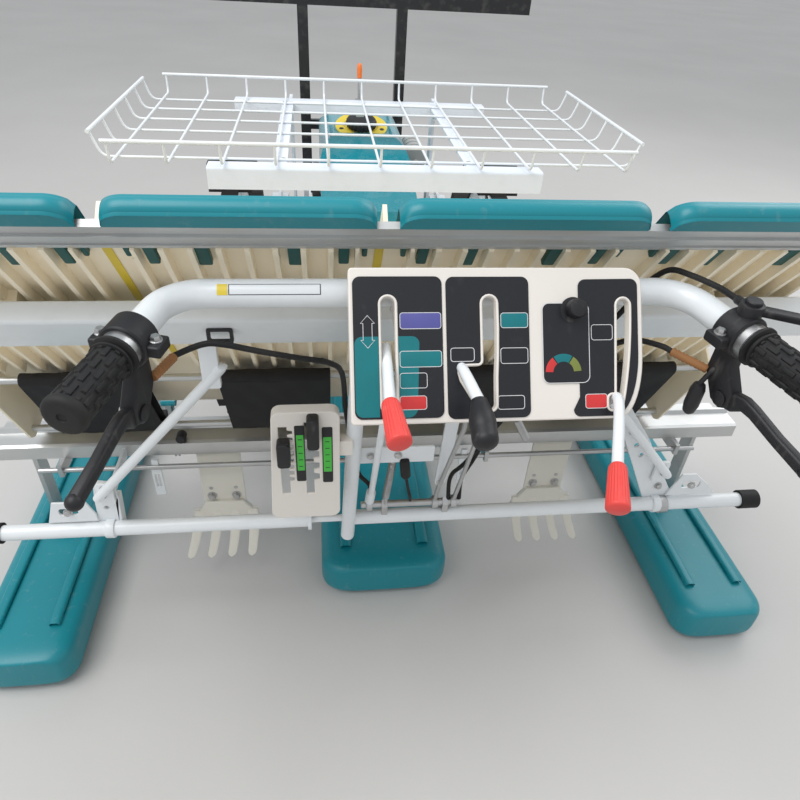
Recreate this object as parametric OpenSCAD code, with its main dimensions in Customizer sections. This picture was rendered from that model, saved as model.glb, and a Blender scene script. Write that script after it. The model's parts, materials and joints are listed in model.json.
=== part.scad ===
// Four row walking rice transplanter, parked on its two wheels and three floats.
// X points right, Y to the front, Z up from the ground. Millimetres.

/* [Rows and table] */
// Distance between planted rows
row_pitch = 300; // [250:10:330]
// Lean of the seedling table from level
table_slope = 53; // [48:1:60]
// Height of the upper lip of the table
lip_z = 886; // [850:1:920]
// Sideways place of the table, left of the middle as photographed
table_x = -46; // [-90:1:90]
// Where the ribbed deck ends, measured down the slope from the lip
deck_end = 655; // [600:1:670]
// Thickness of the deck
deck_t = 4; // [3:0.5:8]
// Height of the walls between seedling mats
divider_h = 30; // [20:1:40]
// Depth of the ribs under the deck
rib_h = 14; // [8:1:16]
// Distance between ribs
rib_pitch = 30; // [20:1:40]
// Width of a seedling feed belt
belt_w = 180; // [120:5:220]
// Running gap under the shoes of the table
slide_clear = 0.4; // [0.2:0.1:2]

/* [Wheels] */
// Diameter over the rubber lugs
wheel_d = 660; // [600:10:700]
// Distance of a wheel's middle plane from the centre line
wheel_x = 325; // [300:5:350]
// Place of the axle behind the engine
axle_y = 930; // [920:5:960]
// Number of lugs on a wheel
lugs = 12; // [8:1:16]
// Width of a lug
lug_w = 100; // [60:5:120]
// Radius of the axle
axle_r = 15; // [10:0.5:20]
// Running fit of axles and shafts
shaft_clear = 0.1; // [0.02:0.02:0.1]

/* [Planting gear] */
// Crank shaft place along the machine
crank_y = 540; // [530:1:560]
// Crank shaft height
crank_z = 290; // [270:1:310]
// Crank radius
crank_r = 40; // [25:1:45]
// Width of a planting arm
arm_w = 30; // [20:1:36]

/* [Rear frame] */
// Diameter of the rear tube
bar_d = 25.4; // [20:0.1:35]
// Place of the rear tube along the machine
bar_y = 115; // [100:1:130]
// Height of the rear tube
bar_z = 312; // [290:1:330]
// Half length of the rear tube
bar_half = 661; // [600:1:700]
// Half length of the sliding rail
rail_half = 730; // [725:1:760]
// Rear face of the sliding rail
rail_y = 300; // [290:1:310]
// Underside of the sliding rail
rail_z = 305; // [290:1:310]
// Places of the rear brackets from the centre line
bracket_x = 485; // [440:1:520]

/* [Handle and panel] */
// Diameter of the handle tube
handle_d = 32; // [28:1:36]
// Height of the straight part of the handle
handle_z = 798; // [780:1:820]
// Sideways place of the handle's middle
handle_x = 14; // [0:1:20]
// Half length of the handle's straight part
handle_half = 256; // [245:1:265]
// Bend radius of the handle
handle_bend = 50; // [45:1:60]
// Splay of the grips from straight back
grip_splay = 15; // [5:1:25]
// Droop of the grips from level
grip_droop = 3; // [0:0.5:6]
// Diameter of a rubber grip
grip_d = 38; // [35:1:42]
// Length of a rubber grip
grip_len = 88; // [80:1:95]
// Width of the control panel
panel_w = 318; // [280:1:330]
// Height of the control panel along its face
panel_h = 160; // [140:1:170]
// Depth of the control panel
panel_t = 20; // [14:1:20]
// Lean of the panel from level
panel_tilt = 53.4; // [45:0.1:70]

/* [Frame and front] */
// Rear end of the frame beam
beam_y0 = 600; // [590:1:620]
// Length of the frame beam
beam_len = 460; // [440:1:480]
// Length of the gear case
gear_len = 180; // [170:1:200]
// Length of the front rails, from the gear case to the guard
front_len = 394; // [380:1:440]
// Thickness of the guard's posts and cross bar
guard_t = 32; // [20:1:40]
// Sideways place of the rack
rack_x = -8; // [-20:1:20]
// Distance of a guard post from the centre line
post_x = 153; // [140:1:170]
// Half length of the guard's cross bar
guard_half = 554; // [500:1:600]
// Width of the rack's wire floor
rack_w = 910; // [800:10:1000]
// Rear end of the rack's wire floor
rack_y0 = 500; // [490:1:530]
// Front end of the rack's wire floor
rack_y1 = 1046; // [1040:1:1080]
// Height of the rack's two cross channels
rack_z = 776; // [760:1:790]
// Diameter of the rack's wire
wire_d = 5; // [4:0.5:7]

/* [Floats] */
// Distance of a side float from the centre line
side_float_x = 655; // [630:1:670]
// Width of a side float
side_float_w = 176; // [150:1:190]
// Width of the rear of the centre float
centre_float_w = 260; // [220:1:266]
// Height of the floats
float_h = 92; // [80:1:105]

/* [Hidden] */
$fn = 48;
half = 2 * row_pitch - 4;
lug_r = wheel_d / 2;
axle_z = wheel_d / 2;
rim_r = 270;
arm_x = [-1.5 * row_pitch, -0.5 * row_pitch, 0.5 * row_pitch, 1.5 * row_pitch];
panel_o = [-88, -33, 840];
gear_y0 = beam_y0 + beam_len;
gear_y1 = gear_y0 + gear_len;
guard_y = gear_y1 + front_len;
park = 60;
pin_y = crank_y + crank_r * cos(park);
pin_z = crank_z + crank_r * sin(park);
cream = [0.85, 0.76, 0.58];
white = [0.88, 0.88, 0.85];
teal = [0.05, 0.45, 0.48];
black = [0.08, 0.08, 0.09];
steel = [0.6, 0.6, 0.62];
red = [0.85, 0.25, 0.22];

module place()
    translate([0, -y_mid, 0]) children();

module bx(x0, x1, y0, y1, z0, z1)
    translate([x0, y0, z0]) cube([x1 - x0, y1 - y0, z1 - z0]);

module xcyl(r, x0, x1, y, z)
    translate([x0, y, z]) rotate([0, 90, 0]) cylinder(r = r, h = x1 - x0);

module ycyl(r, x, y0, y1, z)
    translate([x, y0, z]) rotate([-90, 0, 0]) cylinder(r = r, h = y1 - y0);

// prism with its outline in Y and Z, running along X
module xprism(pts, x0, x1)
    translate([x0, 0, 0]) rotate([90, 0, 90]) linear_extrude(x1 - x0) polygon(pts);

// prism with its outline in X and Z, running along Y
module yprism(pts, y0, y1)
    translate([0, y1, 0]) rotate([90, 0, 0]) linear_extrude(y1 - y0) polygon(pts);

module rod(a, b, r, n = 48) {
    d = b - a;
    l = norm(d);
    translate(a) rotate([0, acos(d[2] / l), atan2(d[1], d[0])]) cylinder(r = r, h = l, $fn = n);
}

// round rod through a list of points, with balls at the bends
module path(pts, r) {
    for (i = [0 : len(pts) - 2]) rod(pts[i], pts[i + 1], r);
    if (len(pts) > 2) for (i = [1 : len(pts) - 2]) translate(pts[i]) sphere(r = r * 1.08);
}

// flat link between two bosses at a and b, each [y, z]
module link(a, b, ra, rb, x0, x1) {
    d = b - a;
    u = d / norm(d);
    n = [-u[1], u[0]] * 0.93;
    xcyl(ra, x0, x1, a[0], a[1]);
    xcyl(rb, x0, x1, b[0], b[1]);
    xprism([a + n * ra, b + n * rb, b - n * rb, a - n * ra], x0, x1);
}

// points of an arc about c, from angle a to b
function arc(c, r, a, b, n = 6) =
    [for (i = [0 : n]) c + r * [cos(a + (b - a) * i / n), sin(a + (b - a) * i / n)]];

// rectangle with round corners
function rounded(x0, x1, y0, y1, r) = concat(arc([x1 - r, y1 - r], r, 0, 90),
    arc([x0 + r, y1 - r], r, 90, 180), arc([x0 + r, y0 + r], r, 180, 270),
    arc([x1 - r, y0 + r], r, 270, 360));

module on_slope()
    translate([0, 0, lip_z]) rotate([-table_slope, 0, 0]) children();

module on_table()
    translate([table_x, 0, 0]) on_slope() children();

module on_panel()
    translate(panel_o) rotate([180 + panel_tilt, 0, 0]) children();

module both() {
    children();
    mirror([1, 0, 0]) children();
}

// CHASSIS

tube_z0 = 360;
tube_z1 = 430;
rail_in = 140;
rail_out = 166;
rail_top = 400;
leg_y0 = gear_y0 + 25;
leg_y1 = gear_y0 + 65;

module main_frame() color(white) place() {
    bx(-35, 35, beam_y0, gear_y0, tube_z0, tube_z1);
    both() bx(rail_in, rail_out, leg_y0, guard_y, tube_z0, rail_top);
    both() bx(rail_out, rail_out + 10, leg_y0, leg_y1, tube_z0 + 2, rail_top - 2);
    bx(-rail_in, rail_in, gear_y1 + 10, guard_y - 134, 372, 380);
    bx(-rail_in, rail_in, guard_y - 74, guard_y - 44, 365, 395);
    both() bx(146, 160, gear_y1 - 4, gear_y1 + 12, rail_top, 534);
    both() bx(104, 160, gear_y1 - 4, gear_y1 + 12, 534, 540);
}

module transmission() color(steel) place() {
    xprism([[gear_y0, 350], [gear_y0 + 40, 318], [gear_y1 - 50, 318], [gear_y1, 350],
        [gear_y1, 500], [gear_y1 - 50, 530], [gear_y0 + 30, 530], [gear_y0, 490]], -90, 90);
    both() bx(90, rail_in, gear_y0 + 40, gear_y1 - 20, tube_z0, rail_top);
    xcyl(40, -202, 202, pivot[0], pivot[1]);
    both() xcyl(52, 90, 110, pivot[0], pivot[1]);
}

fins = 6;
engine_y = gear_y1 + 22;
module engine() color([0.35, 0.35, 0.37]) place() translate([0, engine_y, 0]) {
    bx(-90, 90, 0, 178, 380, 500);
    bx(-70, 70, 18, 138, 500, 588);
    for (i = [0 : fins - 1]) bx(-84, 84, 8, 133, 506 + 13 * i, 510 + 13 * i);
    bx(-99, 99, -8, 186, 390, 402);
    starter();
    xcyl(58, 90, 100, 90, 462);
    yprism(rounded(-66, 28, 414, 504, 16), 178, 214);
    yprism(rounded(-50, 12, 430, 488, 10), 212, 220);
    translate([50, 182, 400]) cylinder(r = 9, h = 96);
}

// recoil starter: a stepped cover with slots round its hub
module starter() {
    xcyl(78, -112, -90, 90, 462);
    difference() {
        xcyl(66, -136, -112, 90, 462);
        for (k = [0 : 11]) translate([-137, 90, 462]) rotate([30 * k, 0, 0]) bx(0, 9, -5, 5, 24, 56);
    }
    xcyl(17, -141, -136, 90, 462);
    bx(-132, -114, 140, 178, 500, 518);
}

module muffler() color([0.7, 0.7, 0.7]) place() translate([153, engine_y, 0]) {
    ycyl(29, 0, -92, 38, 606);
    for (y = [-88, -58, -27, 4, 32]) ycyl(31, 0, y, y + 4, 606);
    ycyl(9, 0, -112, -90, 596);
    translate([0, 23, 500]) cylinder(r = 12, h = 82);
    xcyl(12, -63, 0, 23, 500);
    translate([0, 23, 500]) sphere(r = 12);
}

bonnet_out = [[760, 540], [780, 600], [960, 650], [1070, 690], [1290, 690], [1380, 650],
    [1440, 540]];
bonnet_in = [[770, 539], [786, 596], [962, 645], [1071, 685], [1289, 685], [1376, 646],
    [1433, 539]];
// front view of the bonnet, with round shoulders
function bonnet_face(w, top, r) = concat([[-w, 500], [w, 500]], arc([w - r, top - r], r, 0, 90, 8),
    arc([r - w, top - r], r, 90, 180, 8));
module bonnet() color(teal) place()
    difference() {
        intersection() {
            xprism(bonnet_out, -112, 112);
            yprism(bonnet_face(112, 690, 44), 700, 1500);
        }
        intersection() {
            xprism(bonnet_in, -107, 107);
            yprism(bonnet_face(107, 685, 39), 700, 1500);
        }
        for (k = [0 : 5]) xprism([[1040 + 30 * k, 560], [1052 + 30 * k, 560], [1066 + 30 * k, 620],
            [1054 + 30 * k, 620]], -120, 120);
    }

module fuel_cap() color(black) place() translate([-2, 1136, 690]) {
    difference() {
        cylinder(r = 60, h = 9);
        translate([0, 0, 3]) cylinder(r = 46, h = 7);
    }
    cylinder(r = 33, h = 16);
    translate([0, 0, 16]) cylinder(r1 = 33, r2 = 29, h = 5);
    for (k = [0 : 11]) rotate([0, 0, 30 * k]) translate([32, 0, 4]) cylinder(r = 3.5, h = 12, $fn = 16);
}

module front_guard() color(black) place() {
    both() bx(post_x - 16, post_x + 16, guard_y, guard_y + guard_t, 350, 918);
    bx(-guard_half, guard_half, guard_y, guard_y + guard_t, 918, 962);
    bx(-post_x + 16, post_x - 16, guard_y + 8, guard_y + guard_t - 8, 560, 590);
}

// RACK

rack_floor = rack_z + wire_d / 2;
chan_half = 302;
chan_w = 40;
chan_a = 510;
chan_b = 1022;
module channel(y0, y1)
    translate([rack_x, 0, 0]) difference() {
        bx(-chan_half, chan_half, y0, y1, rack_z - 50, rack_z);
        bx(-chan_half - 1, chan_half + 1, y0 + 3, y1 - 3, rack_z - 51, rack_z - 3);
    }

module rack_frame() color(white) place() {
    channel(chan_a, chan_a + chan_w);
    channel(chan_b, chan_b + chan_w);
    translate([rack_x, 0, 0]) both()
        bx(164, 190, chan_a + chan_w - 5, chan_b + 5, rack_z - 6, rack_z);
    both() bx(rail_out + 10, 184, leg_y0, leg_y1, tube_z0 + 2, rack_z - 6);
    both() bx(rail_out + 10, 184, chan_b + chan_w - 2, leg_y1, rack_z - 40, rack_z);
    both() xprism([[leg_y0 + 5, 560], [leg_y0 + 5, 600], [chan_a + chan_w - 1, rack_z - 19],
        [chan_a + chan_w - 1, rack_z - 48]], rail_out + 10, 184);
}

wires_long = 11;
wires_cross = 6;
rim_z = rack_z + 45;
rim_out = 42;
module rack_basket() color(white) place() translate([rack_x, 0, 0]) {
    w = rack_w / 2;
    thick_r = wire_d / 2 + 1;
    zl = rack_floor + wire_d - 0.5;
    for (i = [0 : wires_long - 1]) {
        x = -w + rack_w * i / (wires_long - 1);
        rod([x, rack_y0, zl], [x, rack_y1, zl], wire_d / 2, 8);
        rod([x, rack_y0, zl], [x, rack_y0 - 8, rim_z], wire_d / 2, 8);
        rod([x, rack_y1, zl], [x, rack_y1 + 4, rim_z], wire_d / 2, 8);
    }
    for (i = [0 : wires_cross - 1]) {
        y = rack_y0 + 53 + 88 * i;
        rod([-w - 27, y, rack_floor], [w + 27, y, rack_floor], wire_d / 2, 8);
        both() rod([w + 27, y, rack_floor], [w + rim_out, y, rim_z], wire_d / 2, 8);
    }
    rod([-w - 8, rack_y0 - 8, rim_z], [w + 8, rack_y0 - 8, rim_z], thick_r, 8);
    rod([-w - 8, rack_y1 + 4, rim_z], [w + 8, rack_y1 + 4, rim_z], thick_r, 8);
    both() rod([w + rim_out, rack_y0 + 46, rim_z], [w + rim_out, rack_y0 + 500, rim_z], thick_r, 8);
}

module centre_marker() color([0.9, 0.45, 0.1]) place() translate([-10, 0, rack_z]) {
    bx(-10, 10, chan_b + chan_w, chan_b + chan_w + 6, -40, -2);
    bx(-10, 10, chan_b + chan_w + 5, 1110, -12, -6);
    translate([0, 1104, -6]) cylinder(r = 4, h = 50);
    translate([0, 1104, 42]) cylinder(r = 6.5, h = 26);
    translate([0, 1104, 68]) sphere(r = 6.5);
}

// WHEELS

pivot = [gear_y1 - 60, 445];
module wheel_arms() color(white) place() both() {
    difference() {
        union() {
            link(pivot, [axle_y, axle_z], 55, 44, 202, 247);
            link(pivot, [axle_y, axle_z], 62, 51, 221, 228);
        }
        xcyl(20, 201, 210, pivot[0], pivot[1]);
    }
    xcyl(30, 247, 251, pivot[0], pivot[1]);
    xcyl(axle_r, 247, wheel_x + 40, axle_y, axle_z);
    xcyl(axle_r + 7, wheel_x + 40, wheel_x + 48, axle_y, axle_z);
}

module wheel() {
    difference() {
        union() {
            xcyl(30, 252, wheel_x + 35, axle_y, axle_z);
            xcyl(62, wheel_x - 4, wheel_x + 4, axle_y, axle_z);
        }
        xcyl(axle_r + shaft_clear, 240, wheel_x + 60, axle_y, axle_z);
    }
    translate([wheel_x, axle_y, axle_z]) rotate([0, 90, 0]) {
        difference() {
            translate([0, 0, -17]) cylinder(r = rim_r, h = 34, $fn = 96);
            translate([0, 0, -18]) cylinder(r = rim_r - 9, h = 36, $fn = 96);
        }
        for (i = [0 : 5]) rotate([0, 0, 60 * i + 30])
            translate([26, 0, 0]) rotate([0, 90, 0]) cylinder(r = 9, h = rim_r - 31, $fn = 24);
    }
}

// lug outline in the wheel plane, [radius, offset], for rolling toward the front
lug_pts = [[rim_r - 2, -44], [rim_r + 22, -34], [lug_r, -20], [lug_r, 16], [rim_r + 30, 26],
    [rim_r - 2, 30]];
module wheel_lugs()
    translate([wheel_x, axle_y, axle_z]) rotate([0, 90, 0])
        difference() {
            union() {
                translate([0, 0, -19]) cylinder(r = rim_r + 7, h = 38, $fn = 96);
                for (i = [0 : lugs - 1]) rotate([0, 0, 360 / lugs * i])
                    translate([0, 0, -lug_w / 2]) linear_extrude(lug_w) polygon(lug_pts);
            }
            translate([0, 0, -lug_w]) cylinder(r = rim_r, h = 2 * lug_w, $fn = 96);
        }

module wheel_right() color(white) place() wheel();
module wheel_left() color(white) place() mirror([1, 0, 0]) wheel();
module lugs_right() color(black) place() wheel_lugs();
module lugs_left() color(black) place() mirror([1, 0, 0]) wheel_lugs();

module lift_cylinder() color(steel) place() {
    bx(-20, 20, 700, 712, tube_z1, 500);
    ycyl(26, 0, 712, 880, 470);
    for (y = [712, 860]) ycyl(30, 0, y, y + 12, 470);
    ycyl(10, 0, 880, 1060, 470);
    bx(-24, 24, 860, 880, tube_z1, 480);
}

// PLANTING GEAR

cross_y = 560;
cross_z = 400;
case_x = row_pitch;
tee_half = row_pitch / 2 - 40;
module planter_case() color(steel) place()
    difference() {
        union() {
            xcyl(35, -case_x - 30, case_x + 30, cross_y, cross_z);
            bx(-45, 45, 570, beam_y0, 358, 442);
            both() link([cross_y, cross_z], [crank_y, crank_z], 40, 40, case_x - 20, case_x + 20);
            both() link([cross_y, cross_z], [crank_y, crank_z], 46, 46, case_x - 4, case_x + 4);
            both() xcyl(22, case_x - tee_half, case_x + tee_half, crank_y, crank_z);
            both() xprism([[402, 308], [402, 343], [430, 348], [540, 380], [540, 308]],
                case_x - 5, case_x + 5);
        }
        both() xcyl(12 + shaft_clear, case_x - tee_half - 1, case_x + tee_half + 1, crank_y, crank_z);
    }

// crank plates [inner x, outer x] with the arm they drive
crank_in = row_pitch / 2 + arm_w / 2 + 5;
crank_out = 1.5 * row_pitch - arm_w / 2 - 5;
module planting_cranks() color(steel) place() both() {
    xcyl(12, crank_in, crank_out, crank_y, crank_z);
    link([crank_y, crank_z], [pin_y, pin_z], 20, 16, crank_in, crank_in + 12);
    link([crank_y, crank_z], [pin_y, pin_z], 20, 16, crank_out - 12, crank_out);
    xcyl(8, crank_in - arm_w - 6, crank_in, pin_y, pin_z);
    xcyl(8, crank_out, crank_out + arm_w + 6, pin_y, pin_z);
}

claw_y = pin_y - 56;
claw_z = pin_z - 46;
module arm_body(x0, x1)
    difference() {
        union() {
            link([pin_y, pin_z], [claw_y, claw_z], 20, 10, x0, x1);
            bx(x0 + 8, x1 - 8, claw_y - 10, claw_y + 10, claw_z - 40, claw_z);
        }
        xcyl(8 + shaft_clear, x0 - 1, x1 + 1, pin_y, pin_z);
    }

module planting_arms() color(teal) place() both() {
    arm_body(row_pitch / 2 - arm_w / 2, row_pitch / 2 + arm_w / 2);
    arm_body(1.5 * row_pitch - arm_w / 2, 1.5 * row_pitch + arm_w / 2);
}

module claw(x) {
    bx(x - 6, x + 6, claw_y - 14, claw_y - 10, claw_z - 60, claw_z - 4);
    for (s = [-1, 1]) bx(x + 4 * s - 2, x + 4 * s + 2, claw_y - 14, claw_y - 10,
        claw_z - 145, claw_z - 58);
    bx(x - 5, x + 5, claw_y - 10, claw_y - 2, claw_z - 90, claw_z - 40);
}

module planting_claws() color(steel) place()
    for (x = arm_x) claw(x);

// LOWER RAIL AND TABLE

gate_w = 26;
module lower_rail() color([0.75, 0.76, 0.78]) place()
    difference() {
        xprism([[rail_y, rail_z], [rail_y, rail_z + 27], [rail_y + 6, rail_z + 30],
            [rail_y + 40, rail_z + 30], [rail_y + 44, rail_z + 38], [rail_y + 50, rail_z + 38],
            [rail_y + 50, rail_z + 10], [402, rail_z + 10], [402, rail_z + 3],
            [rail_y + 46, rail_z + 3], [rail_y + 46, rail_z]], -rail_half, rail_half);
        for (x = arm_x) bx(x - gate_w / 2, x + gate_w / 2, 366, 410, rail_z - 1, rail_z + 12);
    }

module seedling_gates() color(black) place()
    for (x = arm_x) difference() {
        bx(x - 24, x + 24, 356, 402, rail_z + 10, rail_z + 30);
        bx(x - gate_w / 2, x + gate_w / 2, 366, 410, rail_z, rail_z + 40);
    }

module feed_shafts() color([0.8, 0.8, 0.82]) place() {
    xcyl(5, -640, 640, 284, 290);
    xcyl(6, -560, 560, 330, 290);
    for (x = [-600, -200, 200, 600]) bx(x - 4, x + 4, 276, 340, 280, rail_z);
}

// tabs below the strip: [distance from the mat's middle, width, length]
tabs = [[48, 14, 34], [102, 11, 32], [125, 6, 18]];
strip_s0 = 9.5;
strip_s1 = 47;
rib_end = 432;
module seedling_table() color(cream) place() on_table() {
    translate([-half, 30, 0]) cube([2 * half, deck_end - 30, deck_t]);
    for (m = [-1.5 : 1 : 1.5]) translate([m * row_pitch, 0, -rib_h]) difference() {
        for (k = [-4 : 4])
            translate([k * rib_pitch - 3, strip_s1, 0]) cube([6, rib_end - strip_s1, rib_h + 1]);
        both() for (t = tabs)
            translate([t[0] - t[1] / 2 - 0.5, strip_s1 - 1, -1]) cube([t[1] + 1, t[2] + 1.5, rib_h + 1]);
    }
    for (s = [-1, 1])
        translate([s > 0 ? half - 4 : -half, 0, 0]) rotate([90, 0, 90]) linear_extrude(4)
            polygon([[400, 0], [400, -44], [600, -80], [614, -74], [622, -58], [deck_end, 1],
                [400, 1]]);
    for (x = [-450, -150, 150, 450])
        translate([x - 14, 168, -22 + slide_clear]) cube([28, 40, 22]);
}

module mat_dividers() color(cream) place() on_table()
    for (i = [-2 : 2]) {
        x = i == -2 ? -half : i == 2 ? half - 5 : i * row_pitch - 2.5;
        translate([x, 30, deck_t]) cube([5, deck_end - 30, divider_h]);
    }

module extension_plates() color(teal) place() on_table()
    for (m = [-1.5 : 1 : 1.5]) translate([m * row_pitch, 0, 0]) {
        translate([0, 0, -9]) linear_extrude(6) polygon(concat([[-138, 9]],
            arc([-118, -19], 12, 185, 270), arc([118, -19], 12, 270, 355), [[138, 9]]));
        along(-117, 117) translate([-27, -4.5]) circle(r = 4.5);
        translate([-136, 2, -9]) cube([272, 6, 18]);
        translate([-136, 2, 8]) cube([272, 110, 4]);
        both() for (t = tabs) translate([t[0] - t[1] / 2, strip_s1, -8]) cube([t[1], t[2], 8]);
    }

belt_a = [424, -30];
belt_b = [600, -62];
shaft_r = 6;
belt_shift = 8;
module along(x0, x1)
    translate([x0, 0, 0]) rotate([90, 0, 90]) linear_extrude(x1 - x0) children();

module table_rail() color([0.78, 0.79, 0.8]) place() on_table() {
    translate([-half, strip_s0, -9]) cube([2 * half, strip_s1 - strip_s0, 9]);
    translate([-half, strip_s0 + 14, -12]) cube([2 * half, 5, 4]);
    translate([-half, strip_s1 - 5, -11]) cube([2 * half, 5, 3]);
    for (p = [belt_a, belt_b]) xcyl(shaft_r, -half + 4, half - 4, p[0], p[1]);
}

module feed_belts() color(black) place() on_table()
    for (m = [-1.5 : 1 : 1.5]) translate([m * row_pitch + belt_shift, 0, 0]) difference() {
        link(belt_a, belt_b, 11, 11, -belt_w / 2, belt_w / 2);
        for (p = [belt_a, belt_b]) xcyl(shaft_r, -belt_w, belt_w, p[0], p[1]);
    }

module support_channel() color([0.8, 0.8, 0.79]) place() {
    on_slope() difference() {
        translate([-590, 150, -52]) cube([1180, 75, 30]);
        translate([-591, 153, -49]) cube([1182, 69, 24]);
    }
    both() {
        rod([458, 110, 404], [268, 92, 623], 10);
        bx(256, 280, 87, 97, 608, 690);
        bx(446, 470, 113, 121, 366, 412);
    }
}

// REAR FRAME

col_top = [-70, 0, handle_z];
col_foot = [-82, 116, 268];
module rear_bar() color(white) place() {
    xcyl(bar_d / 2, -bar_half, -143, bar_y, bar_z);
    xcyl(18, -149, -143, bar_y, bar_z);
    xcyl(6, -143, -82, bar_y, bar_z);
    xcyl(bar_d / 2, -80, bar_half, bar_y, bar_z);
    difference() {
        rod(col_foot, col_top, 11.5);
        xcyl(handle_d / 2, -100, 0, 0, handle_z);
        bx(-100, 0, -60, 60, handle_z, handle_z + 60);
    }
}

module bar_caps() color(black) place() both()
    difference() {
        xcyl(17, bar_half - 26, bar_half + 8, bar_y, bar_z);
        xcyl(bar_d / 2, bar_half - 27, bar_half, bar_y, bar_z);
    }

module rear_brackets() color(white) place() both()
    difference() {
        union() {
            xcyl(20, bracket_x - 15, bracket_x + 15, bar_y, bar_z);
            xprism([[bar_y, 298], [rail_y, rail_z], [rail_y, rail_z + 27], [210, 350],
                [126, 350], [bar_y, 326]], bracket_x - 3, bracket_x + 3);
            bx(bracket_x - 39, bracket_x + 15, 121, 127, 326, 412);
            yprism([[520, 326], [575, 326], [575, 345], [545, 384], [520, 384]], 116, 119);
            bx(bracket_x, 522, 116, 121, 326, 345);
        }
        xcyl(bar_d / 2, 440, 600, bar_y, bar_z);
        yprism([[536, 348], [550, 348], [550, 362], [536, 362]], 100, 130);
        for (z = [352, 372]) ycyl(4.5, 491, 100, 130, z);
    }

comb_x = [-326, 342];
finger_pitch = 41;
finger_steps = 8;
// a finger at u, 0 at its root to 1 at its tip: place, height, outward bend, half thickness
function finger_y(u) = 302 - 52 * pow(u, 1.6);
function finger_z(u) = 150 - 88 * u;
function finger_x(u) = 18 * u * u;
function finger_h(u) = 5 - 2 * u;
steps_down = [for (i = [0 : finger_steps]) i / finger_steps];
steps_up = [for (i = [0 : finger_steps]) 1 - i / finger_steps];
finger_side = concat([for (u = steps_down) [finger_y(u) + finger_h(u), finger_z(u)]],
    [for (u = steps_up) [finger_y(u) - finger_h(u), finger_z(u)]]);
function finger_front(x) = concat([for (u = steps_down) [x + finger_x(u) + finger_h(u), finger_z(u)]],
    [for (u = steps_up) [x + finger_x(u) - finger_h(u), finger_z(u)]]);
module comb() {
    bx(-41, 41, 306, 310, 162, rail_z);
    yprism([[-41, 182], [-35, 190], [35, 190], [41, 182], [60, 150], [60, 146], [-60, 146], [-60, 150]],
        298, 310);
    for (k = [-1.5 : 1 : 1.5]) intersection() {
        xprism(finger_side, -100, 100);
        yprism(finger_front(finger_pitch * k), 200, 320);
    }
    for (x = [-24, 24]) {
        translate([x, 306, 198]) rotate([90, 0, 0]) cylinder(r = 7, h = 5, $fn = 6);
        ycyl(3, x, 303, 306, 214);
    }
}

module soil_combs() color(cream) place() {
    translate([comb_x[0], 0, 0]) mirror([1, 0, 0]) comb();
    translate([comb_x[1], 0, 0]) comb();
}

// HANDLE

hb_end = 90 - grip_splay;
leg_x = handle_half + handle_bend * sin(hb_end);
leg_y = -handle_bend * (1 - cos(hb_end));
tube_len = 80;
grip_end = 166;
grip_start = grip_end - grip_len;
module in_handle()
    translate([handle_x, 0, handle_z]) rotate([grip_droop, 0, 0]) children();

// point by the right leg: t along it from the end of the bend, a outward, b above it
function leg(t, a = 0, b = 0) = [leg_x + t * sin(grip_splay) + a * cos(grip_splay),
    leg_y - t * cos(grip_splay) + a * sin(grip_splay), b];
module on_leg(t)
    translate(leg(t)) rotate([90, 0, grip_splay]) children();

module handle() color(white) place() in_handle() {
    xcyl(handle_d / 2, -handle_half - 2, handle_half + 2, 0, 0);
    both() {
        translate([handle_half, -handle_bend, 0]) rotate([0, 0, 90 - hb_end])
            rotate_extrude(angle = hb_end) translate([handle_bend, 0]) circle(r = handle_d / 2 + 0.25);
        on_leg(-2) cylinder(r = handle_d / 2, h = tube_len + 2);
        on_leg(tube_len - 2) cylinder(r = 13, h = grip_end - tube_len + 2);
    }
}

module grips() color(black) place() in_handle() both()
    difference() {
        union() {
            on_leg(grip_start) cylinder(r = grip_d / 2, h = grip_len + 4);
            on_leg(grip_start) cylinder(r = grip_d / 2 + 4, h = 5);
            on_leg(grip_start + 8) cylinder(r = grip_d / 2 + 2.5, h = 3);
            on_leg(grip_end - 3) cylinder(r = grip_d / 2 + 1.5, h = 7);
            for (k = [0 : 11]) on_leg(grip_start + 13) rotate([0, 0, 30 * k + 15])
                translate([grip_d / 2 - 1.6, 0, 0]) cylinder(r = 3, h = grip_len - 18, $fn = 12);
        }
        on_leg(0) cylinder(r = 13, h = grip_end);
        on_leg(0) cylinder(r = handle_d / 2, h = tube_len);
    }

// clutch lever under a grip, drawn in the plane of its leg as [t, b]
perch = [[39, -10], [66, -10], [67, -38], [84, -62], [86, -80], [74, -89], [60, -84], [39, -56]];
blade = [[72, -64], [84, -60], [98, -57], [112, -59], [150, -68], [190, -74], [190, -89], [150, -82],
    [112, -74], [100, -74], [88, -84], [72, -87]];
lever_pivot = [72, -75];
lever_tip = [190, -81.5];
tip_r = 8.5;
module in_leg_plane(w)
    on_leg(0) translate([w / 2, 0, 0]) rotate([0, -90, 0]) linear_extrude(w) children();

module clutch_lever(boot) {
    difference() {
        union() {
            on_leg(38) cylinder(r = 24, h = 30);
            on_leg(38) translate([-37, -13, 0]) cube([74, 20, 28]);
            in_leg_plane(20) polygon(perch);
        }
        on_leg(0) cylinder(r = handle_d / 2, h = 120);
    }
    for (x = [-29, 29]) on_leg(52) translate([x, 6, 0]) rotate([-90, 0, 0]) cylinder(r = 5, h = 6, $fn = 6);
    in_leg_plane(14) polygon(blade);
    in_leg_plane(24) translate(lever_pivot) circle(r = 9);
    translate(leg(lever_tip[0], 0, lever_tip[1])) sphere(r = tip_r);
    rod(boot[0], boot[1], 5.5);
}

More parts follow.
